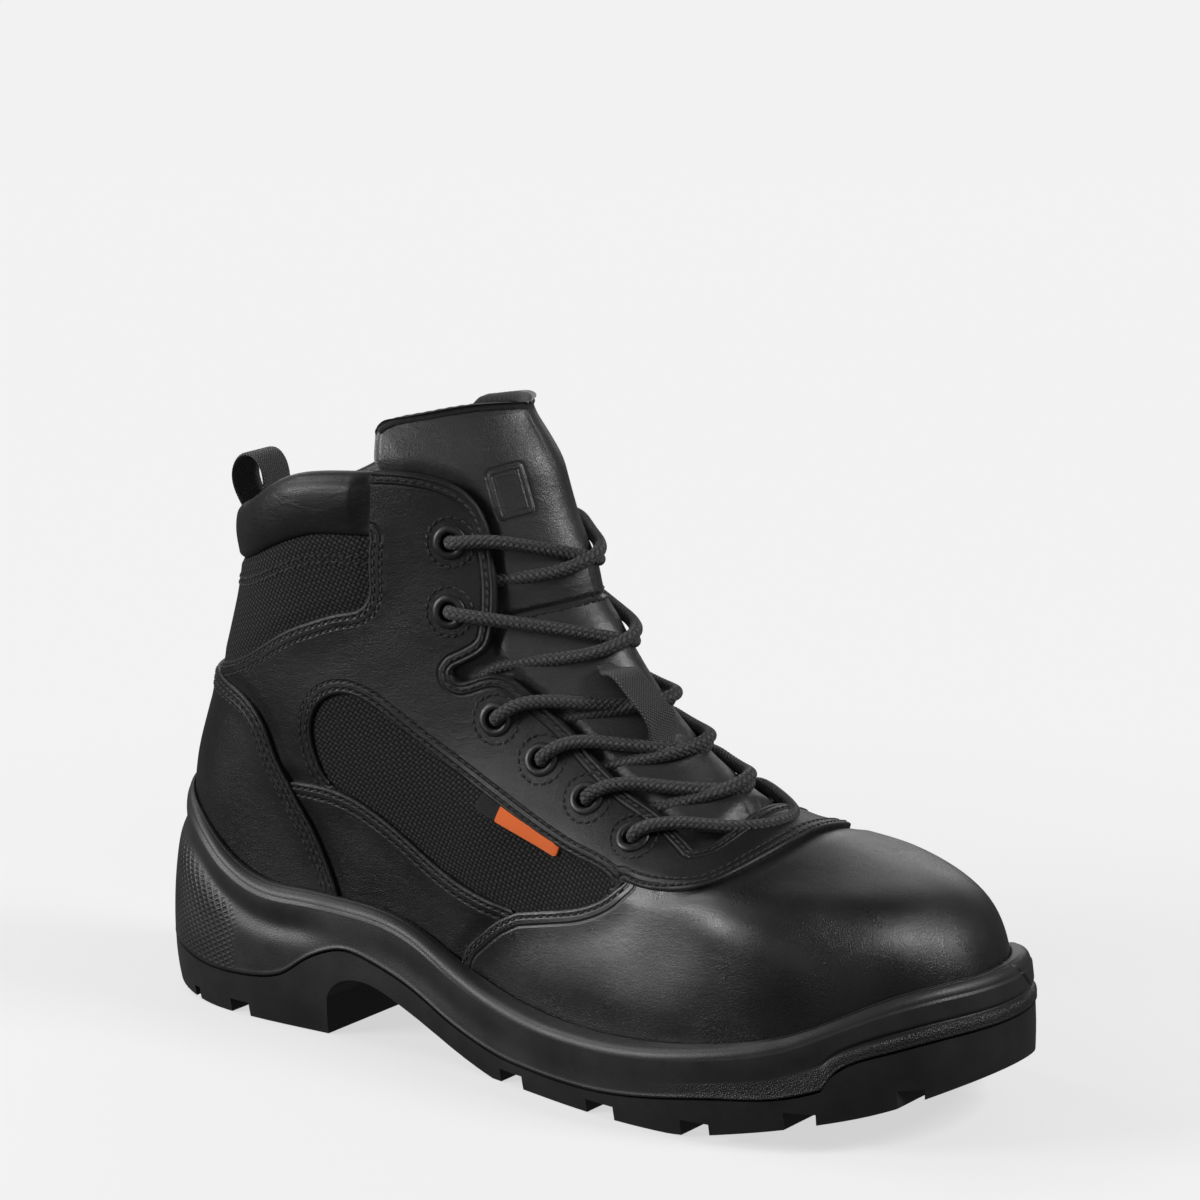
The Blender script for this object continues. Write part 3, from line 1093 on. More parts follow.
q_poly = loop(("s", ANKLE_LOW), ("l", [(-55.6, 161.4), (-55.6, 182)]), ("s", THROAT_TOP), ("s", THROAT_NOTCH), ("s", THROAT_END),
              ("l", [(70.5, 92), (88, 87)]), ("s", D_LINE[::-1]), ("s", VAMP_REAR_UP[::-1]), ("s", WRAP_TOP[::-1]), ("s", COUNTER_TOP),
              ("l", [(-160, 106.5), (-150, 107)]))
for side, nm in ((-1, "lateral"), (1, "medial")):
    # side textile under the window
    grown = closed_dense(WINDOW, 1.5)
    mid = grown.mean(0)
    T2 = np.roll(grown, -1, 0) - np.roll(grown, 1, 0)
    nrm = np.stack([T2[:, 1], -T2[:, 0]], 1)
    nrm /= np.linalg.norm(nrm, axis=1, keepdims=True)
    sgn = np.sign(((grown - mid) * nrm).sum())
    grown = grown + nrm * sgn * 3.0
    panel("side_textile_" + nm, grown, side, 0.85, 2.0, mat="nylon", replaces=["side_textile_" + nm], rim_clip=False,
          extra=lambda A, P, N, t: t - 0.25 * np.exp(-(((A[:, 0] + 25) / 45) ** 2 + ((A[:, 1] - 84) / 14) ** 2)) + 0.45 * (1 - smooth(line_dist(W_ALL, A[:, 0], A[:, 1], True)[0] / 2.0)) * (~inside(W_ALL, A[:, 0], A[:, 1])))
    # lower side panel
    fox_poly = loop(("s", WRAP_TOP), ("s", VAMP_REAR_LOW), ("l", [(-20, 8), (-66.5, 8)]), ("s", COUNTER_EDGE))
    panel("foxing_" + nm, fox_poly, side, -0.05, 2.0, over=[(L_WRAP, 0.75)], under=[(L_VL, 0.8), (L_CE, 0.8)],
          rows=[(L_WRAP, [1.7, 4.2])], replaces=["foxing_" + nm])
    # quarter with a real window: the polygon is cut by the window line
    holes = [(EYES[side][k][0], 3.55) for k in range(6)]

    def keep_q(P, side=side):
        s = np.where(P[:, 0] >= 40, (P[:, 1] - 19.0) * side, P[:, 1] * side + 0.0)
        w = line_dist(W_ALL, P[:, 0], P[:, 2], True)[0]
        w = np.where(inside(W_ALL, P[:, 0], P[:, 2]), -w, w)
        return np.where(P[:, 0] >= 40, np.minimum(s, w), w)

    qside = side
    # in front of x = 40 the lateral quarter carries the one-piece tab over the ridge
    zone = q_poly
    ob = panel("quarter_" + nm, zone, 0 if side < 0 else 0, -0.10, 2.9,
               over=[(L_D, 0.95), (L_WTOP, 0.4), (L_AL, 0.35)], under=[(L_WRAP, 0.7), (L_CT, 0.8), (L_VU, 0.8)],
               fold=[(L_THROAT, 1.3)],
               rows=[(L_D, [1.7, 4.2]), (L_WTOP, [1.7, 4.2]), (L_AL[8:], [1.7, 4.2]), (L_THROAT, [2.6])],
               replaces=["quarter_" + nm, "eyelet_stay_" + nm], holes=holes, rim_clip=False,
               ybox=lambda P, side=side: np.minimum(
                   np.where(P[:, 0] >= 40, (P[:, 1] - 19.0) * side, np.where(np.abs(P[:, 1]) < 1e-3, 0.01, P[:, 1] * side)),
                   np.where(inside(W_ALL, P[:, 0], P[:, 2]), -1, 1) * line_dist(W_ALL, P[:, 0], P[:, 2], True)[0]))

    # ring of stitches round every eyelet
    for c, n in EYES[side]:
        a = np.linspace(0, 2 * math.pi, 60)
        e1 = np.cross(n, [0, 0, 1.0])
        e1 /= np.linalg.norm(e1)
        e2 = np.cross(n, e1)
        ring = c + 7.7 * (np.cos(a)[:, None] * e1 + np.sin(a)[:, None] * e2)
        # drop the ring onto the leather
        rp = place(ring[:, 0], ring[:, 2], np.full(60, side))
        rn = surf_normals(rp)
        stitch_path("stitch_quarter_" + nm, rp + rn * 0.12, rn, pitch=2.5, length=2.05)

# heel cover over both sides
cover_poly = loop(("s", COUNTER_EDGE), ("s", COUNTER_TOP), ("l", [(-160, 106.5), (-160, 8), (-66.5, 8)]))
L_COVER = np.concatenate([L_CE, L_CT[:-30]])
panel("heel_cover", cover_poly, 0, -0.15, 2.0, over=[(np.concatenate([L_CE, L_CT]), 0.9)],
      rows=[(np.concatenate([L_CE, L_CT]), [1.6, 3.6, 5.6])], replaces=["heel_cover"])

# ankle textile round the back
ankle_poly = loop(("s", ANKLE_LOW), ("s", COLLAR_LOW), ("l", [(-150, 144.6), (-150, 107)]))
ank = []
panel("ankle_textile", ankle_poly, 0, 0.7, 2.0, mat="nylon", replaces=["ankle_textile"], rim_clip=False,
      rows=[(L_CL, [6.5, 8.6])], extra=lambda A, P, N, t: t - 0.5 * smooth(line_dist(L_AL, A[:, 0], A[:, 1])[0] / 5.0) + 0.9 * (1 - smooth(line_dist(L_CL, A[:, 0], A[:, 1])[0] / 3.0)))
# backstay strip
panel("backstay", ankle_poly, 0, -0.35, 2.0, replaces=["backstay"], rim_clip=False,
      ybox=lambda P: np.where(P[:, 0] < -95, 10.0 - np.abs(P[:, 1]), -5.0),
      extra=lambda A, P, N, t: t + 0.6 * (1 - smooth((10.0 - np.abs(P[:, 1])) / 0.8)) + 0.9 * (1 - smooth(line_dist(L_CL, A[:, 0], A[:, 1])[0] / 2.5)))
# stitch rows along the backstay
for yy in (-8.2, 8.2):
    zz = np.linspace(108.5, 143.5, 60)
    xx = np.array([back(z) for z in zz])
    pts = []
    for z in zz:
        xs = np.linspace(float(back(z)), float(back(z)) + 12, 240)
        cc, hh = halfwidths(xs, np.full(240, z))
        j = int(np.argmin(np.abs(cc + np.sign(yy) * hh - yy)))
        pts.append((xs[j], yy, z))
    pts = np.array(pts)
    nn = surf_normals(pts)
    stitch_path("stitch_backstay", pts + nn * 0.4, nn)

# lining seen through the opening
LIN_FRONT = [(-55.6, 161.4), (-56, 141), (-50, 127), (-40, 112.5), (-20, 96.5), (4, 85), (26, 76), (46, 70.0), (60, 68.5), (74, 72.0), (84, 79), (90, 92)]
lin_poly = loop(("s", LIN_FRONT), ("l", [(90, 92), (190, 92), (190, 0), (-160, 0), (-160, 144.6), (-150, 144.6)]), ("s", COLLAR_LOW[::-1]))
panel("lining", lin_poly, 0, 3.7, 5.5, mat="lining", replaces=["lining", "foam_interlining"], rim_clip=False,
      ybox=lambda P: P[:, 2] - np.interp(P[:, 0], [-170, -62, -20, 0, 50, 110, 170], [36, 35, 25, 20, 17, 24.5, 38]))

# ---------------- collar ----------------
print("collar")
collar_poly = loop(("s", COLLAR_LOW), ("l", [(-150, 144.6), (-150, 162.5)]), ("s", COLLAR_TOP), ("l", [(-55.6, 181.2), (-55.6, 161.4)]))


def padded_strip():
    A, T = cut_region(collar_poly, 0)
    P = place(A[:, 0], A[:, 1], A[:, 2])
    N = surf_normals(P)
    for lv in (0.15, 0.5, 1.0, 1.7, 2.6, 3.6, 4.8, 6.2):
        D, _ = on_surface(L_COLTOP, A, N)
        A, T, _ = split(A, T, D, lv, keep_both=True)
        P = place(A[:, 0], A[:, 1], A[:, 2])
        N = surf_normals(P)
    for lv in (0.25, 0.7, 1.4, 2.4):
        D, _ = on_surface(L_CL, A, N)
        A, T, _ = split(A, T, D, lv, keep_both=True)
        P = place(A[:, 0], A[:, 1], A[:, 2])
        N = surf_normals(P)
    Dt, _ = on_surface(L_COLTOP, A, N)
    Dl, _ = on_surface(L_CL, A, N)
    Df = np.abs(A[:, 0] + 55.6)
    h = Dt + Dl
    # crowned outside: full in the middle, pulled in at the seam below and at the front end
    crown = np.sin(np.pi * np.clip((Dl + 1.5) / (h + 6.0), 0, 1))
    s = A[:, 3]
    fold = 0.25 * np.sin(s / 7.0 + 1.4 * np.sin(s / 19.0)) * smooth(Dl / 4) * smooth(Dt / 4)
    t = 0.2 - 2.7 * crown * smooth(Df / 7.0) + fold
    R = 5.2
    mid = 4.0
    arc = np.sqrt(np.clip(1 - (1 - np.clip(Dt / R, 0, 1)) ** 2, 0, 1))
    t_out = np.where(Dt < R, mid + (t - mid) * arc, t)
    r2 = 1.7
    arc2 = np.sqrt(np.clip(1 - (1 - np.clip(Dl / r2, 0, 1)) ** 2, 0, 1))
    t_out = np.where(Dl < r2, 1.4 + (t_out - 1.4) * arc2, t_out)
    t_in = 9.3 - 1.2 * (1 - crown)
    t_in = np.where(Dt < R, mid + (t_in - mid) * arc, t_in)
    t_in = t_in - 3.6 * (1 - smooth(Dl / 9.0)) * (Dt > R)
    t_in = np.maximum(t_in, t_out + 0.02)
    ob, O, P, N, T = shell("collar", A, T, t_out, t_in, MAT["soft"], "boot",
                           {"edge_d": np.full(len(A), 50.0), "seam_d": Dl, "seam_on": np.zeros(len(A))}, ["collar"], P, N)
    return ob


padded_strip()

# ---------------- tongue ----------------
print("tongue")
T_CENTRE = [(-46, 214), (-43, 190), (-33, 184.5), (-24.5, 179), (-18.5, 171), (-15, 160), (-12.6, 147), (-12.4, 136), (-12.6, 130), (-8, 125.0), (-2, 121.4),
            (5, 116.8), (12, 112), (22, 104.4), (36, 95.8), (48, 90.4), (57, 86.6), (62, 86.4), (64.5, 90), (66, 100)]
T_WIDE = [(-57.2, 193.2), (-57.0, 188), (-52, 165), (-48, 148), (-43, 128), (-33, 110), (-13, 95.5), (8, 85.5), (30, 77), (50, 72), (68, 72), (78, 77), (82, 92)]
T_TOP = [(-57.2, 193.2), (-55.2, 196.2), (-50, 198.0), (-38, 200.8), (-26, 203.4), (-14, 204.2), (0, 203.5)]
SEAM = np.array([(-70, 124.0), (-6.4, 141.6), (7.2, 145.7), (60, 161)], float)
L_SEAM = dense(SEAM, "l")
L_TTOP = dense(T_TOP)
L_TC = dense(T_CENTRE)
tw_poly = np.concatenate([dense(T_WIDE), dense([(82, 92), (120, 100), (60, 230), (0, 203.5)], "l"), dense(T_TOP)[::-1]])
c_poly = np.concatenate([dense(T_CENTRE), dense([(66, 100), (120, 100), (60, 230), (-46, 230), (-46, 214)], "l")])
BADGE = [(-22, -20.1, 183), (-12.4, -10.6, 186.9), (-8.5, -12.5, 170.6), (-16.8, -19.7, 168.3)]


def tongue_piece(name, keep, replaces, body):
    A, T = cut_region(tw_poly, 0)

    def geo(A):
        P = place(A[:, 0], A[:, 1], A[:, 2])
        return P, surf_normals(P)

    P, N = geo(A)
    A, T, _ = split(A, T, keep(A))
    P, N = geo(A)
    # nothing reaches back into the collar
    F = A[:, 0] + 54.6 + 5.5 * smooth((A[:, 1] - 181.5) / 7.0)
    A, T, _ = split(A, T, F)
    P, N = geo(A)
    for lv in (0.15, 0.5, 1.0, 1.7, 2.6, 3.6):
        D = on_surface(L_TTOP, A, N)[0]
        A, T, _ = split(A, T, D, lv, keep_both=True)
        P, N = geo(A)
    for lv in (0.4, 1.1, 2.0):
        D = on_surface(L_SEAM, A, N)[0]
        A, T, _ = split(A, T, D, lv, keep_both=True)
        P, N = geo(A)
    if name != "tongue_base":
        for lv in (-3.2, -2.5, -2.1, -1.7, -1.2, -0.7, -0.3, 0.0, 0.35, 0.8, 1.3):
            A, T, _ = split(A, T, badge_sd(P), lv, keep_both=True)
            P, N = geo(A)
    Dtop = on_surface(L_TTOP, A, N)[0]
    Dseam = on_surface(L_SEAM, A, N)[0]
    dc = line_dist(L_TC, A[:, 0], A[:, 1])[0]
    sc = np.where(inside(c_poly, A[:, 0], A[:, 1]), dc, -dc)
    high = smooth((A[:, 1] - np.interp(A[:, 0], [-62, -47, -33, 0], [180.5, 178.0, 178.5, 171])) / 9.0)
    wide = on_surface(dense(T_WIDE), A, N)[0]
    f = np.maximum(smooth((sc + 3.5) / 4.5), high * smooth(wide / 3.0))
    t = 4.3 - 1.5 * f
    # padding swells between the seams and settles at the top binding
    swell = smooth(Dseam / 10.0) * smooth(Dtop / 12.0)
    near_ridge = np.exp(-((P[:, 1] / 15.0) ** 2))
    t -= f * (1.5 * swell * (0.45 + 0.55 * near_ridge) - 0.35)
    t += 0.9 * f * (1 - smooth(Dseam / 1.6))
    cr = np.sin(A[:, 1] / 5.3 + 0.9 * np.sin(P[:, 1] / 7.0)) * np.exp(-((A[:, 1] - 150) / 26) ** 2)
    t += 0.22 * f * cr
    # shallow blank frame pressed into the leather near the top
    if name != "tongue_base":
        t += 4.0 * smooth((A[:, 1] - 182.0) / 19.0)
        q = badge_frame(P)
        t += 0.42 * f * q
    R = 3.3
    mid = 5.6
    arc = np.sqrt(np.clip(1 - (1 - np.clip(Dtop / R, 0, 1)) ** 2, 0, 1))
    t_out = np.where(Dtop < R, mid + (t - mid) * arc, t)
    t_in = np.where(Dtop < R, mid + (9.5 - mid) * arc, 9.5)
    t_in = np.maximum(t_in, t_out + 0.02)
    ob, O, P, N, T = shell(name, A, T, t_out, t_in, MAT["tongue"], None,
                           {"edge_d": np.full(len(A), 50.0), "seam_d": Dseam, "seam_on": np.zeros(len(A))}, (), P, N)
    return ob, A, O, P, N, T, sc


def badge_sd(P, with_far=False):
    """distance from a rounded frame lying between four points of the face, seen along its own normal"""
    B = np.array(BADGE, float)
    c = B.mean(0)
    e1 = (B[1] - B[0] + B[2] - B[3]) / 2
    w = np.linalg.norm(e1)
    e1 = e1 / w
    e2 = (B[0] - B[3] + B[1] - B[2]) / 2
    h = np.linalg.norm(e2)
    e2 = e2 - e1 * e2.dot(e1)
    e2 /= np.linalg.norm(e2)
    d = P - c
    a = d.dot(e1)
    b = d.dot(e2)
    far = np.abs(d.dot(np.cross(e1, e2)))
    r = 2.0
    qa = np.abs(a) - (w / 2 - r)
    qb = np.abs(b) - (h / 2 - r)
    sd = np.hypot(np.maximum(qa, 0), np.maximum(qb, 0)) + np.minimum(np.maximum(qa, qb), 0) - r
    sd = np.where(far < 9, sd, 20.0)
    return (sd, far) if with_far else sd


def badge_frame(P):
    sd, far = badge_sd(P, True)
    frame_line = np.exp(-((sd / 0.55) ** 2))
    inner = np.exp(-(((sd + 1.9) / 0.4) ** 2)) * 0.8
    field = 0.55 * smooth((-sd - 2.2) / 0.8)
    return (frame_line + inner + field) * (far < 9)


tb = tongue_piece("tongue_base", lambda A: np.interp(A[:, 0], SEAM[:, 0], SEAM[:, 1]) - A[:, 1], ["tongue_base"], "boot")
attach(tb[0], "boot")
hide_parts("tongue_base", "gusset_lateral", "gusset_medial")
tu = tongue_piece("tongue_upper", lambda A: A[:, 1] - np.interp(A[:, 0], SEAM[:, 0], SEAM[:, 1]), ["tongue_middle", "tongue_top"], None)
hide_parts("tongue_middle", "tongue_top")
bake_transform(tu[0])
# cross seam stitches
for w in (1.5,):
    for src in (tb, tu):
        ob, A, O, P, N, T, sc = src
        D, K = on_surface(L_SEAM, A, N)
        for p, q in isolines(O, N, T, D, K, w):
            m = sc_ok = np.abs(p[:, 1]) < 27
            idx = np.where(m)[0]
            if len(idx) > 4:
                stitch_path("stitch_tongue", p[idx], q[idx])

# gussets: thin folded leather between tongue and lining
GUS_IN = [(-38, 118), (-32, 109), (-13, 95.5), (8, 85.5), (30, 77), (50, 71.5)]
GUS_OUT = [(50, 63), (28, 68), (2, 78), (-20, 89), (-38, 100), (-47, 112)]
for side, nm in ((-1, "lateral"), (1, "medial")):
    gp = loop(("s", GUS_IN), ("l", [(50, 71.5), (50, 63)]), ("s", GUS_OUT), ("l", [(-47, 112), (-38, 118)]))
    panel("gusset_" + nm, gp, side, 5.7, 7.1, mat="soft", rim_clip=False)

# binding tape round the top edge of the tongue
def sweep(name, path, normals, width, thick, mat, body, replaces=(), nseg=20, ribs=0.0, rib_pitch=1.1, round_end=False, side_dir=None):
    """a flat tape along a path: normals give the face direction; width across, rounded edges"""
    P = np.asarray(path, float)
    n = len(P)
    Tn = np.gradient(P, axis=0)
    Tn /= np.linalg.norm(Tn, axis=1, keepdims=True)
    Nn = normals - Tn * (normals * Tn).sum(1, keepdims=True)
    Nn /= np.linalg.norm(Nn, axis=1, keepdims=True)
    B = np.cross(Nn, Tn)
    s = np.concatenate([[0], np.cumsum(np.linalg.norm(np.diff(P, axis=0), axis=1))])
    # section: flat oval with soft edges
    sec = []
    m = nseg
    for i in range(m + 1):
        sec.append((-width / 2 + width * i / m, 1))
    for i in range(m + 1):
        sec.append((width / 2 - width * i / m, -1))
    sec = np.array(sec)
    e = np.clip((width / 2 - np.abs(sec[:, 0])) / (thick * 0.8), 0, 1)
    hgt = thick / 2 * np.sqrt(1 - (1 - e) ** 2) * sec[:, 1]
    k = len(sec)
    V = P[:, None] + B[:, None] * sec[None, :, 0:1] + Nn[:, None] * hgt[None, :, None]
    if ribs:
        row = np.sin(2 * np.pi * s / rib_pitch)[:, None]
        V = V + Nn[:, None] * (ribs * row * sec[None, :, 1] * (e[None] > 0.5))[..., None]
    V = V.reshape(-1, 3)
    uv = np.stack([np.repeat(s, k), np.tile(sec[:, 0], n)], 1)
    i = np.arange(n - 1)[:, None] * k
    j = np.arange(k)[None]
    Q = np.stack([(i + j).ravel(), (i + (j + 1) % k).ravel(), (i + k + (j + 1) % k).ravel(), (i + k + j).ravel()], 1)
    half = m + 1
    caps = []
    for base, rev in ((0, False), ((n - 1) * k, True)):
        for c in range(m):
            q = (base + c, base + k - 1 - c, base + k - 2 - c, base + c + 1)
            caps.append(q[::-1] if rev else q)
    Q = np.concatenate([Q, np.array(caps)])
    ob = build(name, V, None, Q, mat, body, uv, replaces=replaces)
    return ob, V


top_path = []
ob, A, O, P, N, T, sc = tu
D, K = on_surface(L_TTOP, A, N)
chains = isolines((P - N * (4.9 + 4.0 * smooth((A[:, 1] - 182.0) / 19.0))[:, None]), N, T, D, K, 1.3, 0.0005, 0.9995)
if chains:
    p = np.concatenate([c[0] for c in chains])
    q = np.concatenate([c[1] for c in chains])
    o = np.argsort(p[:, 1])
    p, q = p[o], q[o]
    # even spacing in y before smoothing
    yy = np.linspace(p[0, 1], p[-1, 1], 90)
    p = np.stack([np.interp(yy, p[:, 1], p[:, k]) for k in range(3)], 1)
    q = np.stack([np.interp(yy, np.sort(p[:, 1]), yy * 0 + 1)] * 3, 1) if False else np.stack([np.interp(yy, np.concatenate([c[0] for c in chains])[o][:, 1], np.concatenate([c[1] for c in chains])[o][:, k]) for k in range(3)], 1)
    p = relax(p, False, 10)
    q = relax(q, False, 10)
    s = np.concatenate([[0], np.cumsum(np.linalg.norm(np.diff(p, axis=0), axis=1))])
    qq = np.linspace(0, s[-1], int(s[-1] / 0.6))
    pp = np.stack([np.interp(qq, s, p[:, i]) for i in range(3)], 1)
    nq = np.stack([np.interp(qq, s, q[:, i]) for i in range(3)], 1)
    # a rolled tape: its section is a flattened ring lying over the edge
    Tn = np.gradient(pp, axis=0)
    Tn /= np.linalg.norm(Tn, axis=1, keepdims=True)
    nq = nq - Tn * (nq * Tn).sum(1, keepdims=True)
    nq /= np.linalg.norm(nq, axis=1, keepdims=True)
    up = np.cross(Tn, nq)
    up *= np.sign(up[:, 2:3])
    kk = 28
    ang = np.linspace(0, 2 * np.pi, kk, endpoint=False)
    rough_edge = 1 + 0.05 * np.sin(qq / 0.55)[:, None] * np.cos(2 * ang)[None]
    V = pp[:, None] + (nq[:, None] * (2.5 * np.cos(ang))[None, :, None] + up[:, None] * (1.6 * np.sin(ang))[None, :, None]) * rough_edge[..., None]
    n = len(pp)
    uv = np.stack([np.repeat(qq, kk), np.tile(ang * 2.5, n)], 1)
    i = np.arange(n - 1)[:, None] * kk
    j = np.arange(kk)[None]
    Q = np.stack([(i + j).ravel(), (i + (j + 1) % kk).ravel(), (i + kk + (j + 1) % kk).ravel(), (i + kk + j).ravel()], 1)
    capq = []
    for base in (0, (n - 1) * kk):
        for c in range(1, kk // 2):
            capq.append((base + c - 1, base + c, base + kk - c - 1, base + kk - c))
    V = V.reshape(-1, 3)
    build("tongue_binding", V, None, np.concatenate([Q, np.array(capq)]), MAT["binding"], "tongue_flap", uv)

# ---------------- eyelets ----------------
print("eyelets")
LATHE = [(5.35, 0.02), (5.38, 0.18), (5.25, 0.42), (4.95, 0.66), (4.5, 0.84), (4.0, 0.92), (3.55, 0.84), (3.2, 0.62), (3.02, 0.3), (2.98, -0.2), (2.98, -1.6),
         (2.98, -3.2), (3.65, -3.25), (3.68, -1.5), (3.7, -0.05)]
for side, nm in ((-1, "lateral"), (1, "medial")):
    V, Q = [], []
    na = 56
    for c, n in EYES[side]:
        e1 = np.cross(n, [0, 0, 1.0])
        e1 /= np.linalg.norm(e1)
        e2 = np.cross(n, e1)
        o = len(V)
        for a in np.linspace(0, 2 * np.pi, na, endpoint=False):
            for r, h in LATHE:
                V.append(c + (e1 * math.cos(a) + e2 * math.sin(a)) * r + n * (h + 0.12))
        m = len(LATHE)
        for i in range(na):
            for j in range(m):
                a, b = i, (i + 1) % na
                Q.append((o + a * m + j, o + b * m + j, o + b * m + (j + 1) % m, o + a * m + (j + 1) % m))
    V = np.array(V)
    Q = np.array(Q)
    f = np.cross(V[Q[:, 1]] - V[Q[:, 0]], V[Q[:, 2]] - V[Q[:, 0]])
    c0, n0 = EYES[side][0]
    top = 4
    if f[top].dot(n0) < 0:
        Q = Q[:, ::-1]
    build("eyelets_" + nm, V, None, Q, MAT["eyelet"], "boot", replaces=["eyelets_" + nm])

# ---------------- lace ----------------
print("lace")
UNDER_T, IN_T, OVER_T, EDGE_T, EYE_T = 5.0, 0.75, -3.5, -2.3, -2.9
DIVE = [(-13.6, 150.5), (-9.0, 126.0), (8.5, 114.2), (27.5, 101.3), (46.2, 91.8)]
UNDER = [(-22.5, 149.5), (-22.5, 123.5), (-2.0, 108.5), (16.0, 97.8), (35.5, 88.0)]
OUTE = [(-18.5, 162.8), (-17.0, 139.2), (-2.5, 115.6), (13.5, 105.0), (31.5, 94.2), (50.5, 84.8)]


def at(side, xz, t):
    p, n = spot(xz[0], xz[1], side)
    return p - n * t


def across(pl, pm, f, t):
    z = pl[1] * (1 - f) + pm[1] * f
    yl = spot(pl[0], pl[1], -1)[0][1]
    ym = spot(pm[0], pm[1], 1)[0][1]
    y = yl * (1 - f) + ym * f
    hi = float(np.interp(z, TAB_Z, TAB_X)) - 1e-3
    lo = hi - 70.0
    for _ in range(50):
        m = 0.5 * (lo + hi)
        c, h = halfwidths(np.array([m]), np.array([z]))
        if abs(y - c[0]) < h[0]:
            lo = m
        else:
            hi = m
    p = np.array([0.5 * (lo + hi), y, z])
    return p - surf_normals(p[None])[0] * t


def strand(k_eye, k_dive, side, over):
    d, o = DIVE[k_dive], OUTE[k_eye]
    lat, med = (d, o) if side > 0 else (o, d)
    pts = []
    for f, t in ((0.17, IN_T), (0.34, -1.4 if over else IN_T), (0.5, OVER_T if over else IN_T + 0.1), (0.66, -1.4 if over else IN_T - 0.1), (0.83, IN_T - 0.8)):
        pts.append(across(lat, med, f if side > 0 else 1 - f, t))
    pts.append(at(side, o, EDGE_T))
    return pts


def lace_run(start):
    s, k = start, 5
    pts = [at(s, OUTE[5], EDGE_T)]
    while True:
        p, n = EYES[s][k]
        pts += [p - n * EYE_T, p - n * UNDER_T]
        if k == 0:
            break
        pts.append(at(s, UNDER[k - 1], UNDER_T))
        pts += strand(k - 1, k - 1, -s, over=(-s > 0))
        s = -s
        k -= 1
    for xz in ((-37.5, 163.2), (-44.5, 160.5), (-47.6, 153.0), (-48.2, 146.0)):
        pts.append(at(s, xz, UNDER_T))
    return pts


bar = [across(OUTE[5], OUTE[5], f, IN_T - 0.4) for f in (0.2, 0.4, 0.6, 0.8)]
route = lace_run(-1)[::-1] + bar + lace_run(1)
pts = [route[0]]
for p in route[1:]:
    if np.linalg.norm(p - pts[-1]) > 1.5:
        pts.append(p)
route = np.array(pts)


def nurbs_line(P, res=10):
    """points read from the route's NURBS spline"""
    cu = bpy.data.curves.new("route", "CURVE")
    cu.dimensions = "3D"
    sp = cu.splines.new("NURBS")
    sp.points.add(len(P) - 1)
    for q, p in zip(sp.points, P):
        q.co = (*[float(v) for v in p], 1.0)
    sp.order_u = 3
    sp.use_endpoint_u = True
    cu.resolution_u = res
    ob = bpy.data.objects.new("route", cu)
    me = bpy.data.meshes.new_from_object(ob)
    V = np.array([v.co[:] for v in me.vertices])
    bpy.data.objects.remove(ob)
    bpy.data.curves.remove(cu)
    bpy.data.meshes.remove(me)
    return V


def tube_frames(P):
    Tn = np.gradient(P, axis=0)
    Tn /= np.linalg.norm(Tn, axis=1, keepdims=True)
    u = np.cross(Tn[0], [0.3, 0.5, 0.8])
    u /= np.linalg.norm(u)
    U = [u]
    for i in range(1, len(P)):
        u = U[-1] - Tn[i] * U[-1].dot(Tn[i])
        U.append(u / np.linalg.norm(u))
    U = np.array(U)
    return Tn, U, np.cross(Tn, U)


line = nurbs_line(route)
s = np.concatenate([[0], np.cumsum(np.linalg.norm(np.diff(line, axis=0), axis=1))])
LACE_LEN = float(s[-1])
print("lace length mm", round(LACE_LEN, 1))
q = np.arange(0, s[-1], 0.27)
C = np.stack([np.interp(q, s, line[:, i]) for i in range(3)], 1)
for _ in range(6):
    C[1:-1] = (C[:-2] + 2 * C[1:-1] + C[2:]) / 4
Tn, U, W = tube_frames(C)
ka = 36
v = np.arange(ka) / ka
aa = 6 * v[None] + q[:, None] / 1.9
bb = 6 * v[None] - q[:, None] / 1.9
par = (np.floor(aa) + np.floor(bb)) % 2
across_a = 1 - (2 * np.abs(aa % 1 - 0.5)) ** 2
across_b = 1 - (2 * np.abs(bb % 1 - 0.5)) ** 2
lift = np.where(par > 0.5, across_a, across_b)
light = np.where(par > 0.5, 1.0, 0.35)
rad = 1.76 + 0.38 * lift
ang = 2 * np.pi * v[None]
V = C[:, None] + (U[:, None] * np.cos(ang)[..., None] + W[:, None] * np.sin(ang)[..., None]) * rad[..., None]
n = len(C)
i = np.arange(n - 1)[:, None] * ka
j = np.arange(ka)[None]
Q = np.stack([(i + j).ravel(), (i + ka + j).ravel(), (i + ka + (j + 1) % ka).ravel(), (i + (j + 1) % ka).ravel()], 1)
capq = []
for base, rev in ((0, False), ((n - 1) * ka, True)):
    for c in range(1, ka // 2):
        t4 = (base + c - 1, base + c, base + ka - c - 1, base + ka - c)
        capq.append(t4 if rev else t4[::-1])
along = np.where(par > 0.5, aa, bb)
build("lace", V.reshape(-1, 3), None, np.concatenate([Q, np.array(capq)]), MAT["lace"], "boot",
      np.stack([np.repeat(q, ka), np.tile(v * 12, n)], 1),
      {"light": light.ravel(), "lift": lift.ravel(), "along": np.where(par > 0.5, bb, aa).ravel()}, replaces=["lace"])
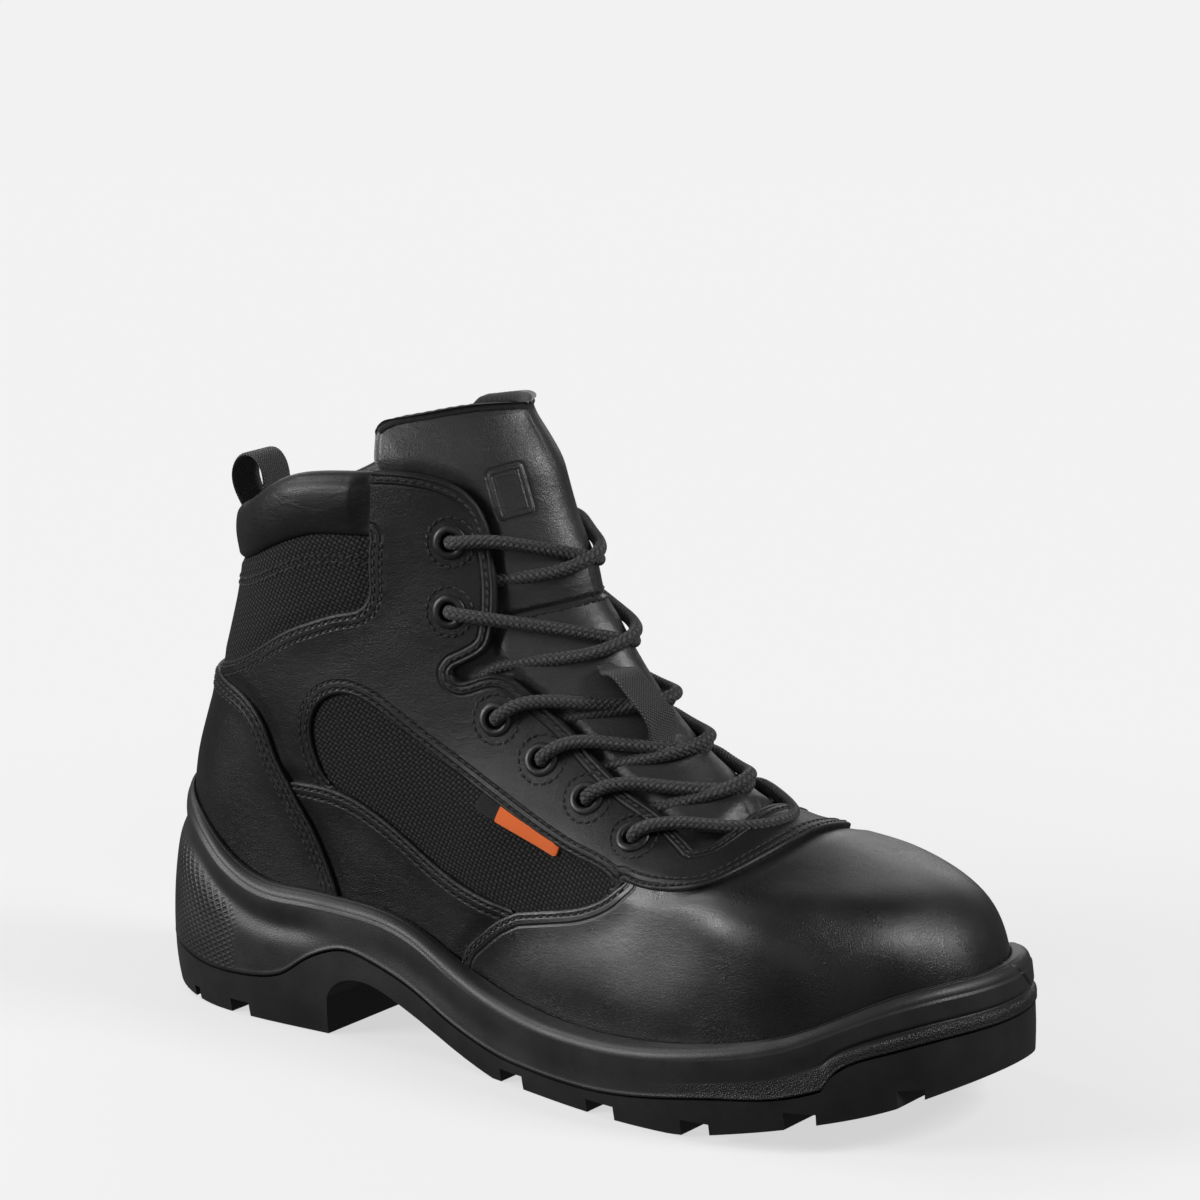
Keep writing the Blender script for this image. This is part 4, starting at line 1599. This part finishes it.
# tips: short tapered plastic sleeves
for idx, (a, b) in enumerate(((1, 0), (-2, -1))):
    end = C[0] if idx == 0 else C[-1]
    d = (C[0] - C[12]) if idx == 0 else (C[-1] - C[-13])
    d /= np.linalg.norm(d)
    e1 = np.cross(d, [0.2, 0.9, 0.3])
    e1 /= np.linalg.norm(e1)
    e2 = np.cross(d, e1)
    prof = [(0.0, -1.0), (1.95, -1.0), (2.08, -0.6), (1.95, 0.2), (1.9, 6), (1.86, 12), (1.6, 13.2), (1.0, 13.9), (0.0, 14.0)]
    V, Q = [], []
    for a in np.linspace(0, 2 * np.pi, 24, endpoint=False):
        for r, h in prof:
            V.append(end + d * h + (e1 * math.cos(a) + e2 * math.sin(a)) * max(r, 0.01))
    m = len(prof)
    for i in range(24):
        for j in range(m - 1):
            b2 = (i + 1) % 24
            Q.append((i * m + j, b2 * m + j, b2 * m + j + 1, i * m + j + 1))
    build("lace_tip_%d" % idx, np.array(V), None, np.array(Q), MAT["tip"], "boot", replaces=["lace_tips"])

# ---------------- webbing keeper, pull loop, label ----------------
print("webbing")


def rpt(r_x, t):
    i = int(np.argmin(abs(RXX - r_x) + (RZZ < 60) * 1e3))
    return (RXX[i] + NX[i] * t, RZZ[i] + NZ[i] * t)


def front_point(y, z):
    hi = float(np.interp(z, TAB_Z, TAB_X)) - 1e-3
    lo = hi - 70.0
    for _ in range(50):
        m = 0.5 * (lo + hi)
        c, h = halfwidths(np.array([m]), np.array([z]))
        if abs(y - c[0]) < h[0]:
            lo = m
        else:
            hi = m
    p = np.array([0.5 * (lo + hi), y, z])
    return p, surf_normals(p[None])[0]


kp, kn = [], []
for z, t in [(127.0, 2.4), (125.4, 1.5), (124.2, -0.6), (123.2, -3.2), (121.4, -5.0), (118.6, -5.6), (115.0, -5.8), (111.6, -5.3), (109.6, -3.7), (108.4, -1.2),
             (107.2, 0.9), (105.6, 1.8), (104.0, 2.4)]:
    p, n = front_point(-8.5, z)
    kp.append(p - n * t)
    kn.append(n)
kp = np.array(kp)
s = np.concatenate([[0], np.cumsum(np.linalg.norm(np.diff(kp, axis=0), axis=1))])
qk = np.arange(0, s[-1], 0.25)
kp = np.stack([cubic(s, kp[:, k])(qk) for k in range(3)], 1)
side_y = np.array([0.18, 0.98, 0.0])
tk = np.gradient(kp, axis=0)
kn = np.cross(tk, side_y)
kn /= np.linalg.norm(kn, axis=1, keepdims=True)
kn *= np.sign(kn[len(kn) // 2, 0])
sweep("lace_keeper", kp, kn, 12.5, 1.15, MAT["web"], "boot", ["lace_keeper"], ribs=0.05)

LOOP = [(-124.6, 148.5), (-125.5, 152.0), (-127.3, 156.5), (-130.6, 162.0), (-132.0, 167.0), (-130.8, 171.4), (-127.8, 174.2), (-124.0, 174.4), (-121.0, 171.8),
        (-119.6, 168.2), (-119.2, 164.9), (-119.0, 161.5)]
L2 = dense(LOOP, "s", 0.25)
lp = np.stack([L2[:, 0], np.zeros(len(L2)), L2[:, 1]], 1)
tl = np.gradient(L2, axis=0)
ln_ = np.stack([-tl[:, 1], np.zeros(len(L2)), tl[:, 0]], 1)
sweep("pull_loop", lp, ln_, 14.0, 1.25, MAT["web"], "loop", ["pull_loop"], ribs=0.05)

LAB = [(-12.8, 87.0), (17.6, 76.4), (15.6, 71.2), (-14.6, 81.8), (-12.8, 87.0)]
lab_poly = dense(LAB[:-1] + [LAB[0]], "l")[:-1]
dirv = np.array([17.6 + 12.8, 76.4 - 87.0])
dl = np.linalg.norm(dirv)
dirv /= dl
for nm, lo_, hi_, mt in (("side_label_dark", -5.0, 8.4, "label_black"), ("side_label_bright", 8.4, 50.0, "orange")):
    def clipf(P, lo_=lo_, hi_=hi_):
        u = (P[:, 0] + 12.8) * dirv[0] + (P[:, 2] - 87.0) * dirv[1]
        return np.minimum(u - lo_, hi_ - u)
    A_e = np.array([LAB[0], LAB[1]], float)
    panel(nm, lab_poly, -1, -0.45 if mt == "orange" else -0.25, 0.5, mat=mt, rim_clip=False, ybox=clipf,
          replaces=["side_label"], extra=lambda A, P, N, t: t + 0.35 * (1 - smooth(line_dist(np.concatenate([lab_poly, lab_poly[:1]]), A[:, 0], A[:, 1])[0] / 0.7)))

# ---------------- midsole ----------------
print("sole")
CTRL = np.array([(-152.5, 0), (-149, -17), (-138, -31), (-120, -39), (-95, -41.5), (-65, -41), (-35, -41.5), (-5, -46.5),
                 (25, -53.5), (52, -58), (78, -58), (102, -53.5), (124, -44), (140, -30), (150, -13), (153.5, 5), (150, 23),
                 (139, 38), (121, 49), (98, 55), (72, 54.5), (45, 49.5), (15, 41.5), (-15, 35.5), (-45, 34.5), (-75, 37),
                 (-100, 38.5), (-122, 36), (-138, 28.5), (-149, 16)], float)


def base_outline(n):
    m = len(CTRL)
    t = np.linspace(0, m, n, endpoint=False)
    i = np.floor(t).astype(int) % m
    f = (t - np.floor(t))[:, None]
    p0, p1, p2, p3 = CTRL[(i - 1) % m], CTRL[i], CTRL[(i + 1) % m], CTRL[(i + 2) % m]
    P = 0.5 * ((2 * p1) + (-p0 + p2) * f + (2 * p0 - 5 * p1 + 4 * p2 - p3) * f**2 + (-p0 + 3 * p1 - 3 * p2 + p3) * f**3)
    Tt = np.roll(P, -1, 0) - np.roll(P, 1, 0)
    Nn = np.stack([Tt[:, 1], -Tt[:, 0]], 1)
    Nn /= np.linalg.norm(Nn, axis=1, keepdims=True)
    s = np.concatenate([[0], np.cumsum(np.linalg.norm(np.diff(P, axis=0), axis=1))])
    return P, Nn, s


NS = 1500
OP, ON, OS = base_outline(NS)
rz = rim_z(OP[:, 0])
# how far in from the outline the leather is met at rim height
depth = np.full(NS, np.nan)
for d in np.arange(0.0, 26.0, 0.2):
    q = OP - ON * d
    c, h = halfwidths(q[:, 0], rz)
    ins = (np.abs(q[:, 1] - c) < h) & np.isnan(depth)
    depth[ins] = d
depth = np.where(np.isnan(depth), 12.0, depth)
kern = np.ones(25) / 25
depth = np.convolve(np.concatenate([depth[-12:], depth, depth[:12]]), kern, "valid")
off_top = SIDE_OFF(rz)
ledge = np.maximum(depth + off_top, 1.5)
pz = part_z(OP[:, 0])
toe = smooth((OP[:, 0] - 112) / 22)
# rows of the section: (q inward from the wall at rim height, z below the rim) then down the wall
rows = []


def ring_row(qin, z, attrs=(0, 0, 0)):
    P2 = OP - ON * qin[:, None]
    rows.append((np.stack([P2[:, 0], P2[:, 1], z], 1), attrs))


w = ledge
base_q = -off_top
R = np.minimum(3.4, w * 0.75)
ring_row(base_q + w + 3.0, rz - 5.0)
ring_row(base_q + w + 0.6, rz - 2.2)
ring_row(base_q + w - 0.25, rz - 0.9)
ring_row(base_q + w - 0.7, rz - 0.45, (0, 0.6, 0))
for f in (0.86, 0.7, 0.5):
    ring_row(base_q + w * f, rz - 0.15 + 0.35 * np.sin(np.pi * (1 - f)) * np.ones(NS), (0, 1.0 if f > 0.8 else 0.4, 0))
for a in np.linspace(0.12, 1.0, 9):
    th = a * np.pi / 2
    ring_row(base_q + R * (1 - np.sin(th)) * 1.0, rz - R * (1 - np.cos(th)), (0, 0.5 * (1 - a), 0))
# wall: a bead, a soft hollow below it, then the full side
zs_top = rz - R
zs_bot = pz + 0.55
NW = 40
for k in range(1, NW + 1):
    f = k / NW
    z = zs_top * (1 - f) + zs_bot * f
    o = SIDE_OFF(z)
    H = np.maximum(zs_top - zs_bot, 1.0)
    dz = f * H
    hollow = 1.5 * np.exp(-((dz - 8.5) / 4.2) ** 2) * smooth((H - 9) / 12) * (1 - toe)
    # toe: the bead and the lower band are parted by a narrow groove
    groove_z = 3.2 + 0.42 * (H - 3.2)
    g = 1.15 * np.exp(-((dz - groove_z) / 0.75) ** 2) * toe
    belly = 0.55 * np.sin(np.pi * np.clip((dz - groove_z) / np.maximum(H - groove_z, 1), 0, 1)) * toe
    lip = 0.35 * np.exp(-((H - dz - 0.3) / 0.7) ** 2)
    q = -o + hollow + g - belly - lip + 0.35 * np.exp(-((H - dz) / 0.35) ** 2)
    lowband = np.mean(0) if False else 0
    rows.append((np.stack([*(OP - ON * q[:, None]).T, z], 1),
                 (np.where(OP[:, 0] > 60, smooth((dz - groove_z) / 1.2) * smooth((OP[:, 0] - 60) / 30), 0.0), 0.0,
                  smooth((-104 - OP[:, 0]) / 8) * smooth((dz - 9) / 4) * smooth((H - dz) / 2.5))))
ring_row(-SIDE_OFF(pz) + 1.4, pz + 0.25)
ring_row(-SIDE_OFF(pz) + 5.0, pz + 0.4)
ring_row(base_q + w + 3.0, np.minimum(pz + 4.0, rz - 6.0))
M = len(rows)
V = np.concatenate([r[0] for r in rows])


def col(i):
    out = []
    for r in rows:
        a = r[1][i]
        out.append(np.full(NS, float(a)) if np.isscalar(a) else a)
    return np.concatenate(out)


# tip notch in the toe bumper
x, y, z = V.T
notch = np.exp(-((y - (7.1 + (51.3 - z) * 1.1)) / 0.7) ** 2) * (x > 146) * smooth((z - 40) / 2)
nrm2 = np.tile(ON, (M, 1))
V[:, :2] -= nrm2 * (0.8 * notch)[:, None]
i = np.arange(M)[:, None] * NS
j = np.arange(NS)[None]
Q = np.stack([(i + j).ravel(), (i + (j + 1) % NS).ravel(), (((i // NS + 1) % M) * NS + (j + 1) % NS).ravel(), (((i // NS + 1) % M) * NS + j).ravel()], 1)
f = np.cross(V[Q[:, 1]] - V[Q[:, 0]], V[Q[:, 2]] - V[Q[:, 0]])
kk = (M - 10) * NS
if (f[kk, :2] * ON[0]).sum() < 0:
    Q = Q[:, ::-1]
uv = np.stack([np.tile(OS, M), V[:, 2]], 1)
build("midsole", V, None, Q, MAT["midsole"], "boot", uv,
      {"stipple": col(0), "crest": col(1), "hatch": col(2)}, replaces=["midsole"])

# thin moulding line where midsole meets outsole
# outsole keeps its CAD shape; its edges are softened
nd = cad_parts["outsole"]
bv = nd.modifiers.new("soft_edges", "BEVEL")
bv.width = 0.0006
bv.segments = 2
bv.limit_method = "ANGLE"
bv.angle_limit = math.radians(35)
bv.harden_normals = False

# ---------------- footbed ----------------
FB_TOP = cubic([-170, -146, -130, -110, -85, -60, -40, -20, 0, 20, 50, 80, 110, 130, 146, 170],
               [46, 44.5, 41.6, 40.4, 40.6, 41.0, 37.4, 31.2, 25.2, 21.6, 20.9, 23.0, 27.8, 32.2, 36, 41])
ZB = cubic([-170, -145, -110, -80, -62, -40, -20, 0, 20, 50, 80, 110, 130, 146, 170],
           [34, 34, 34, 33.8, 33, 29, 23, 17.8, 15, 15, 17.5, 22.5, 27, 31, 36])
xs = np.concatenate([np.linspace(-139.2, -120, 60), np.linspace(-119, 133.5, 220)])
nc = 64
Vt, Vb = [], []
for x in xs:
    c, h = halfwidths(np.array([x]), np.array([float(FB_TOP(x))]))
    hh = max(float(h[0]) - 6.3, 0.4)
    for a in np.linspace(-1, 1, nc):
        yy = float(c[0]) + hh * math.sin(a * math.pi / 2)
        e = abs(math.sin(a * math.pi / 2))
        zt = float(FB_TOP(x)) - 0.9 * smooth((e - 0.93) / 0.07) - 0.6 * math.exp(-((x - 95) / 22) ** 2 - (yy / 22) ** 2) - 0.9 * math.exp(-((x + 112) / 20) ** 2 - (yy / 17) ** 2)
        Vt.append((x, yy, zt))
        Vb.append((x, yy, float(ZB(x)) + 2.45))
n0 = len(xs)
Vf = np.array(Vt + Vb)
i = np.arange(n0 - 1)[:, None] * nc
j = np.arange(nc - 1)[None]
top = np.stack([(i + j).ravel(), (i + nc + j).ravel(), (i + nc + j + 1).ravel(), (i + j + 1).ravel()], 1)
nb = len(Vt)
bot = top[:, ::-1] + nb
sides = []
for i in range(n0 - 1):
    a, b = i * nc, (i + 1) * nc
    sides.append((a, a + nb, b + nb, b))
    a, b = i * nc + nc - 1, (i + 1) * nc + nc - 1
    sides.append((b, b + nb, a + nb, a))
for j in range(nc - 1):
    a, b = j, j + 1
    sides.append((b, b + nb, a + nb, a))
    a, b = (n0 - 1) * nc + j, (n0 - 1) * nc + j + 1
    sides.append((a, a + nb, b + nb, b))
build("footbed", Vf, None, np.concatenate([top, bot, np.array(sides)]), MAT["lining"], "insole", Vf[:, :2], replaces=["footbed"])

flush_stitches(lambda g: MAT["thread"])

# ---------------- floor, light ----------------
def sheet_mesh(name, pts, mat):
    me = bpy.data.meshes.new(name)
    me.from_pydata(pts, [], [tuple(range(len(pts)))])
    me.materials.append(mat)
    ob = bpy.data.objects.new(name, me)
    bpy.context.scene.collection.objects.link(ob)
    return ob


fm = bpy.data.materials.new("floor_paint")
fm.use_nodes = True
fb = fm.node_tree.nodes["Principled BSDF"]
fb.inputs["Roughness"].default_value = 0.95
fb.inputs["Specular IOR Level"].default_value = 0.0
nt = fm.node_tree
ftc = nt.nodes.new("ShaderNodeTexCoord")
fln = nt.nodes.new("ShaderNodeVectorMath")
fln.operation = "LENGTH"
nt.links.new(ftc.outputs["Object"], fln.inputs[0])
fno = nt.nodes.new("ShaderNodeTexNoise")
fno.inputs["Scale"].default_value = 900.0
nt.links.new(ftc.outputs["Object"], fno.inputs["Vector"])
for socket, near, far in (("Base Color", 0.28, 0.0), ("Emission Color", 0.625, 0.880)):
    mr = nt.nodes.new("ShaderNodeMapRange")
    mr.interpolation_type = "SMOOTHSTEP"
    nt.links.new(fln.outputs["Value"], mr.inputs["Value"])
    mr.inputs["From Min"].default_value = 0.17
    mr.inputs["From Max"].default_value = 0.45
    mr.inputs["To Min"].default_value = near
    mr.inputs["To Max"].default_value = far
    fine = nt.nodes.new("ShaderNodeMath")
    fine.operation = "MULTIPLY_ADD"
    nt.links.new(fno.outputs["Fac"], fine.inputs[0])
    fine.inputs[1].default_value = 0.012
    nt.links.new(mr.outputs["Result"], fine.inputs[2])
    nt.links.new(fine.outputs[0], fb.inputs[socket])
fb.inputs["Emission Strength"].default_value = 1.0
floor = sheet_mesh("floor", [(-9, -9, -0.0002), (9, -9, -0.0002), (9, 9, -0.0002), (-9, 9, -0.0002)], fm)
floor.visible_diffuse = False
floor.visible_glossy = False

world = bpy.data.worlds.new("studio")
bpy.context.scene.world = world
world.use_nodes = True
bg = world.node_tree.nodes["Background"]
bg.inputs["Color"].default_value = (1.0, 1.0, 1.0, 1)
bg.inputs["Strength"].default_value = 0.085
bpy.context.scene.view_settings.view_transform = "Standard"


def area(name, loc, aim, size, power, size_y=None):
    li = bpy.data.lights.new(name, "AREA")
    li.shape = "RECTANGLE"
    li.size = size
    li.size_y = size_y or size
    li.energy = power
    ob = bpy.data.objects.new(name, li)
    bpy.context.scene.collection.objects.link(ob)
    ob.location = loc
    ob.rotation_euler = (Vector(aim) - Vector(loc)).to_track_quat("-Z", "Y").to_euler()
    return ob


def around(name, az, el, dist, size, power, size_y=None):
    a, e = math.radians(az), math.radians(el)
    ob = area(name, (dist * math.cos(e) * math.cos(a), dist * math.cos(e) * math.sin(a), 0.08 + dist * math.sin(e)), (0.01, 0, 0.08), size, power, size_y)
    ob.visible_camera = False
    return ob


around("side_left", -134, 19, 1.4, 0.6, 14.0, 0.5)
around("front_top", 13, 38, 1.4, 0.42, 11.0)
around("backdrop", 122, 17, 2.0, 1.6, 6.5, 1.0)
around("camera_fill", -62, 12, 1.7, 0.7, 1.4)
around("left_back", -172, 42, 1.4, 0.5, 4.5)
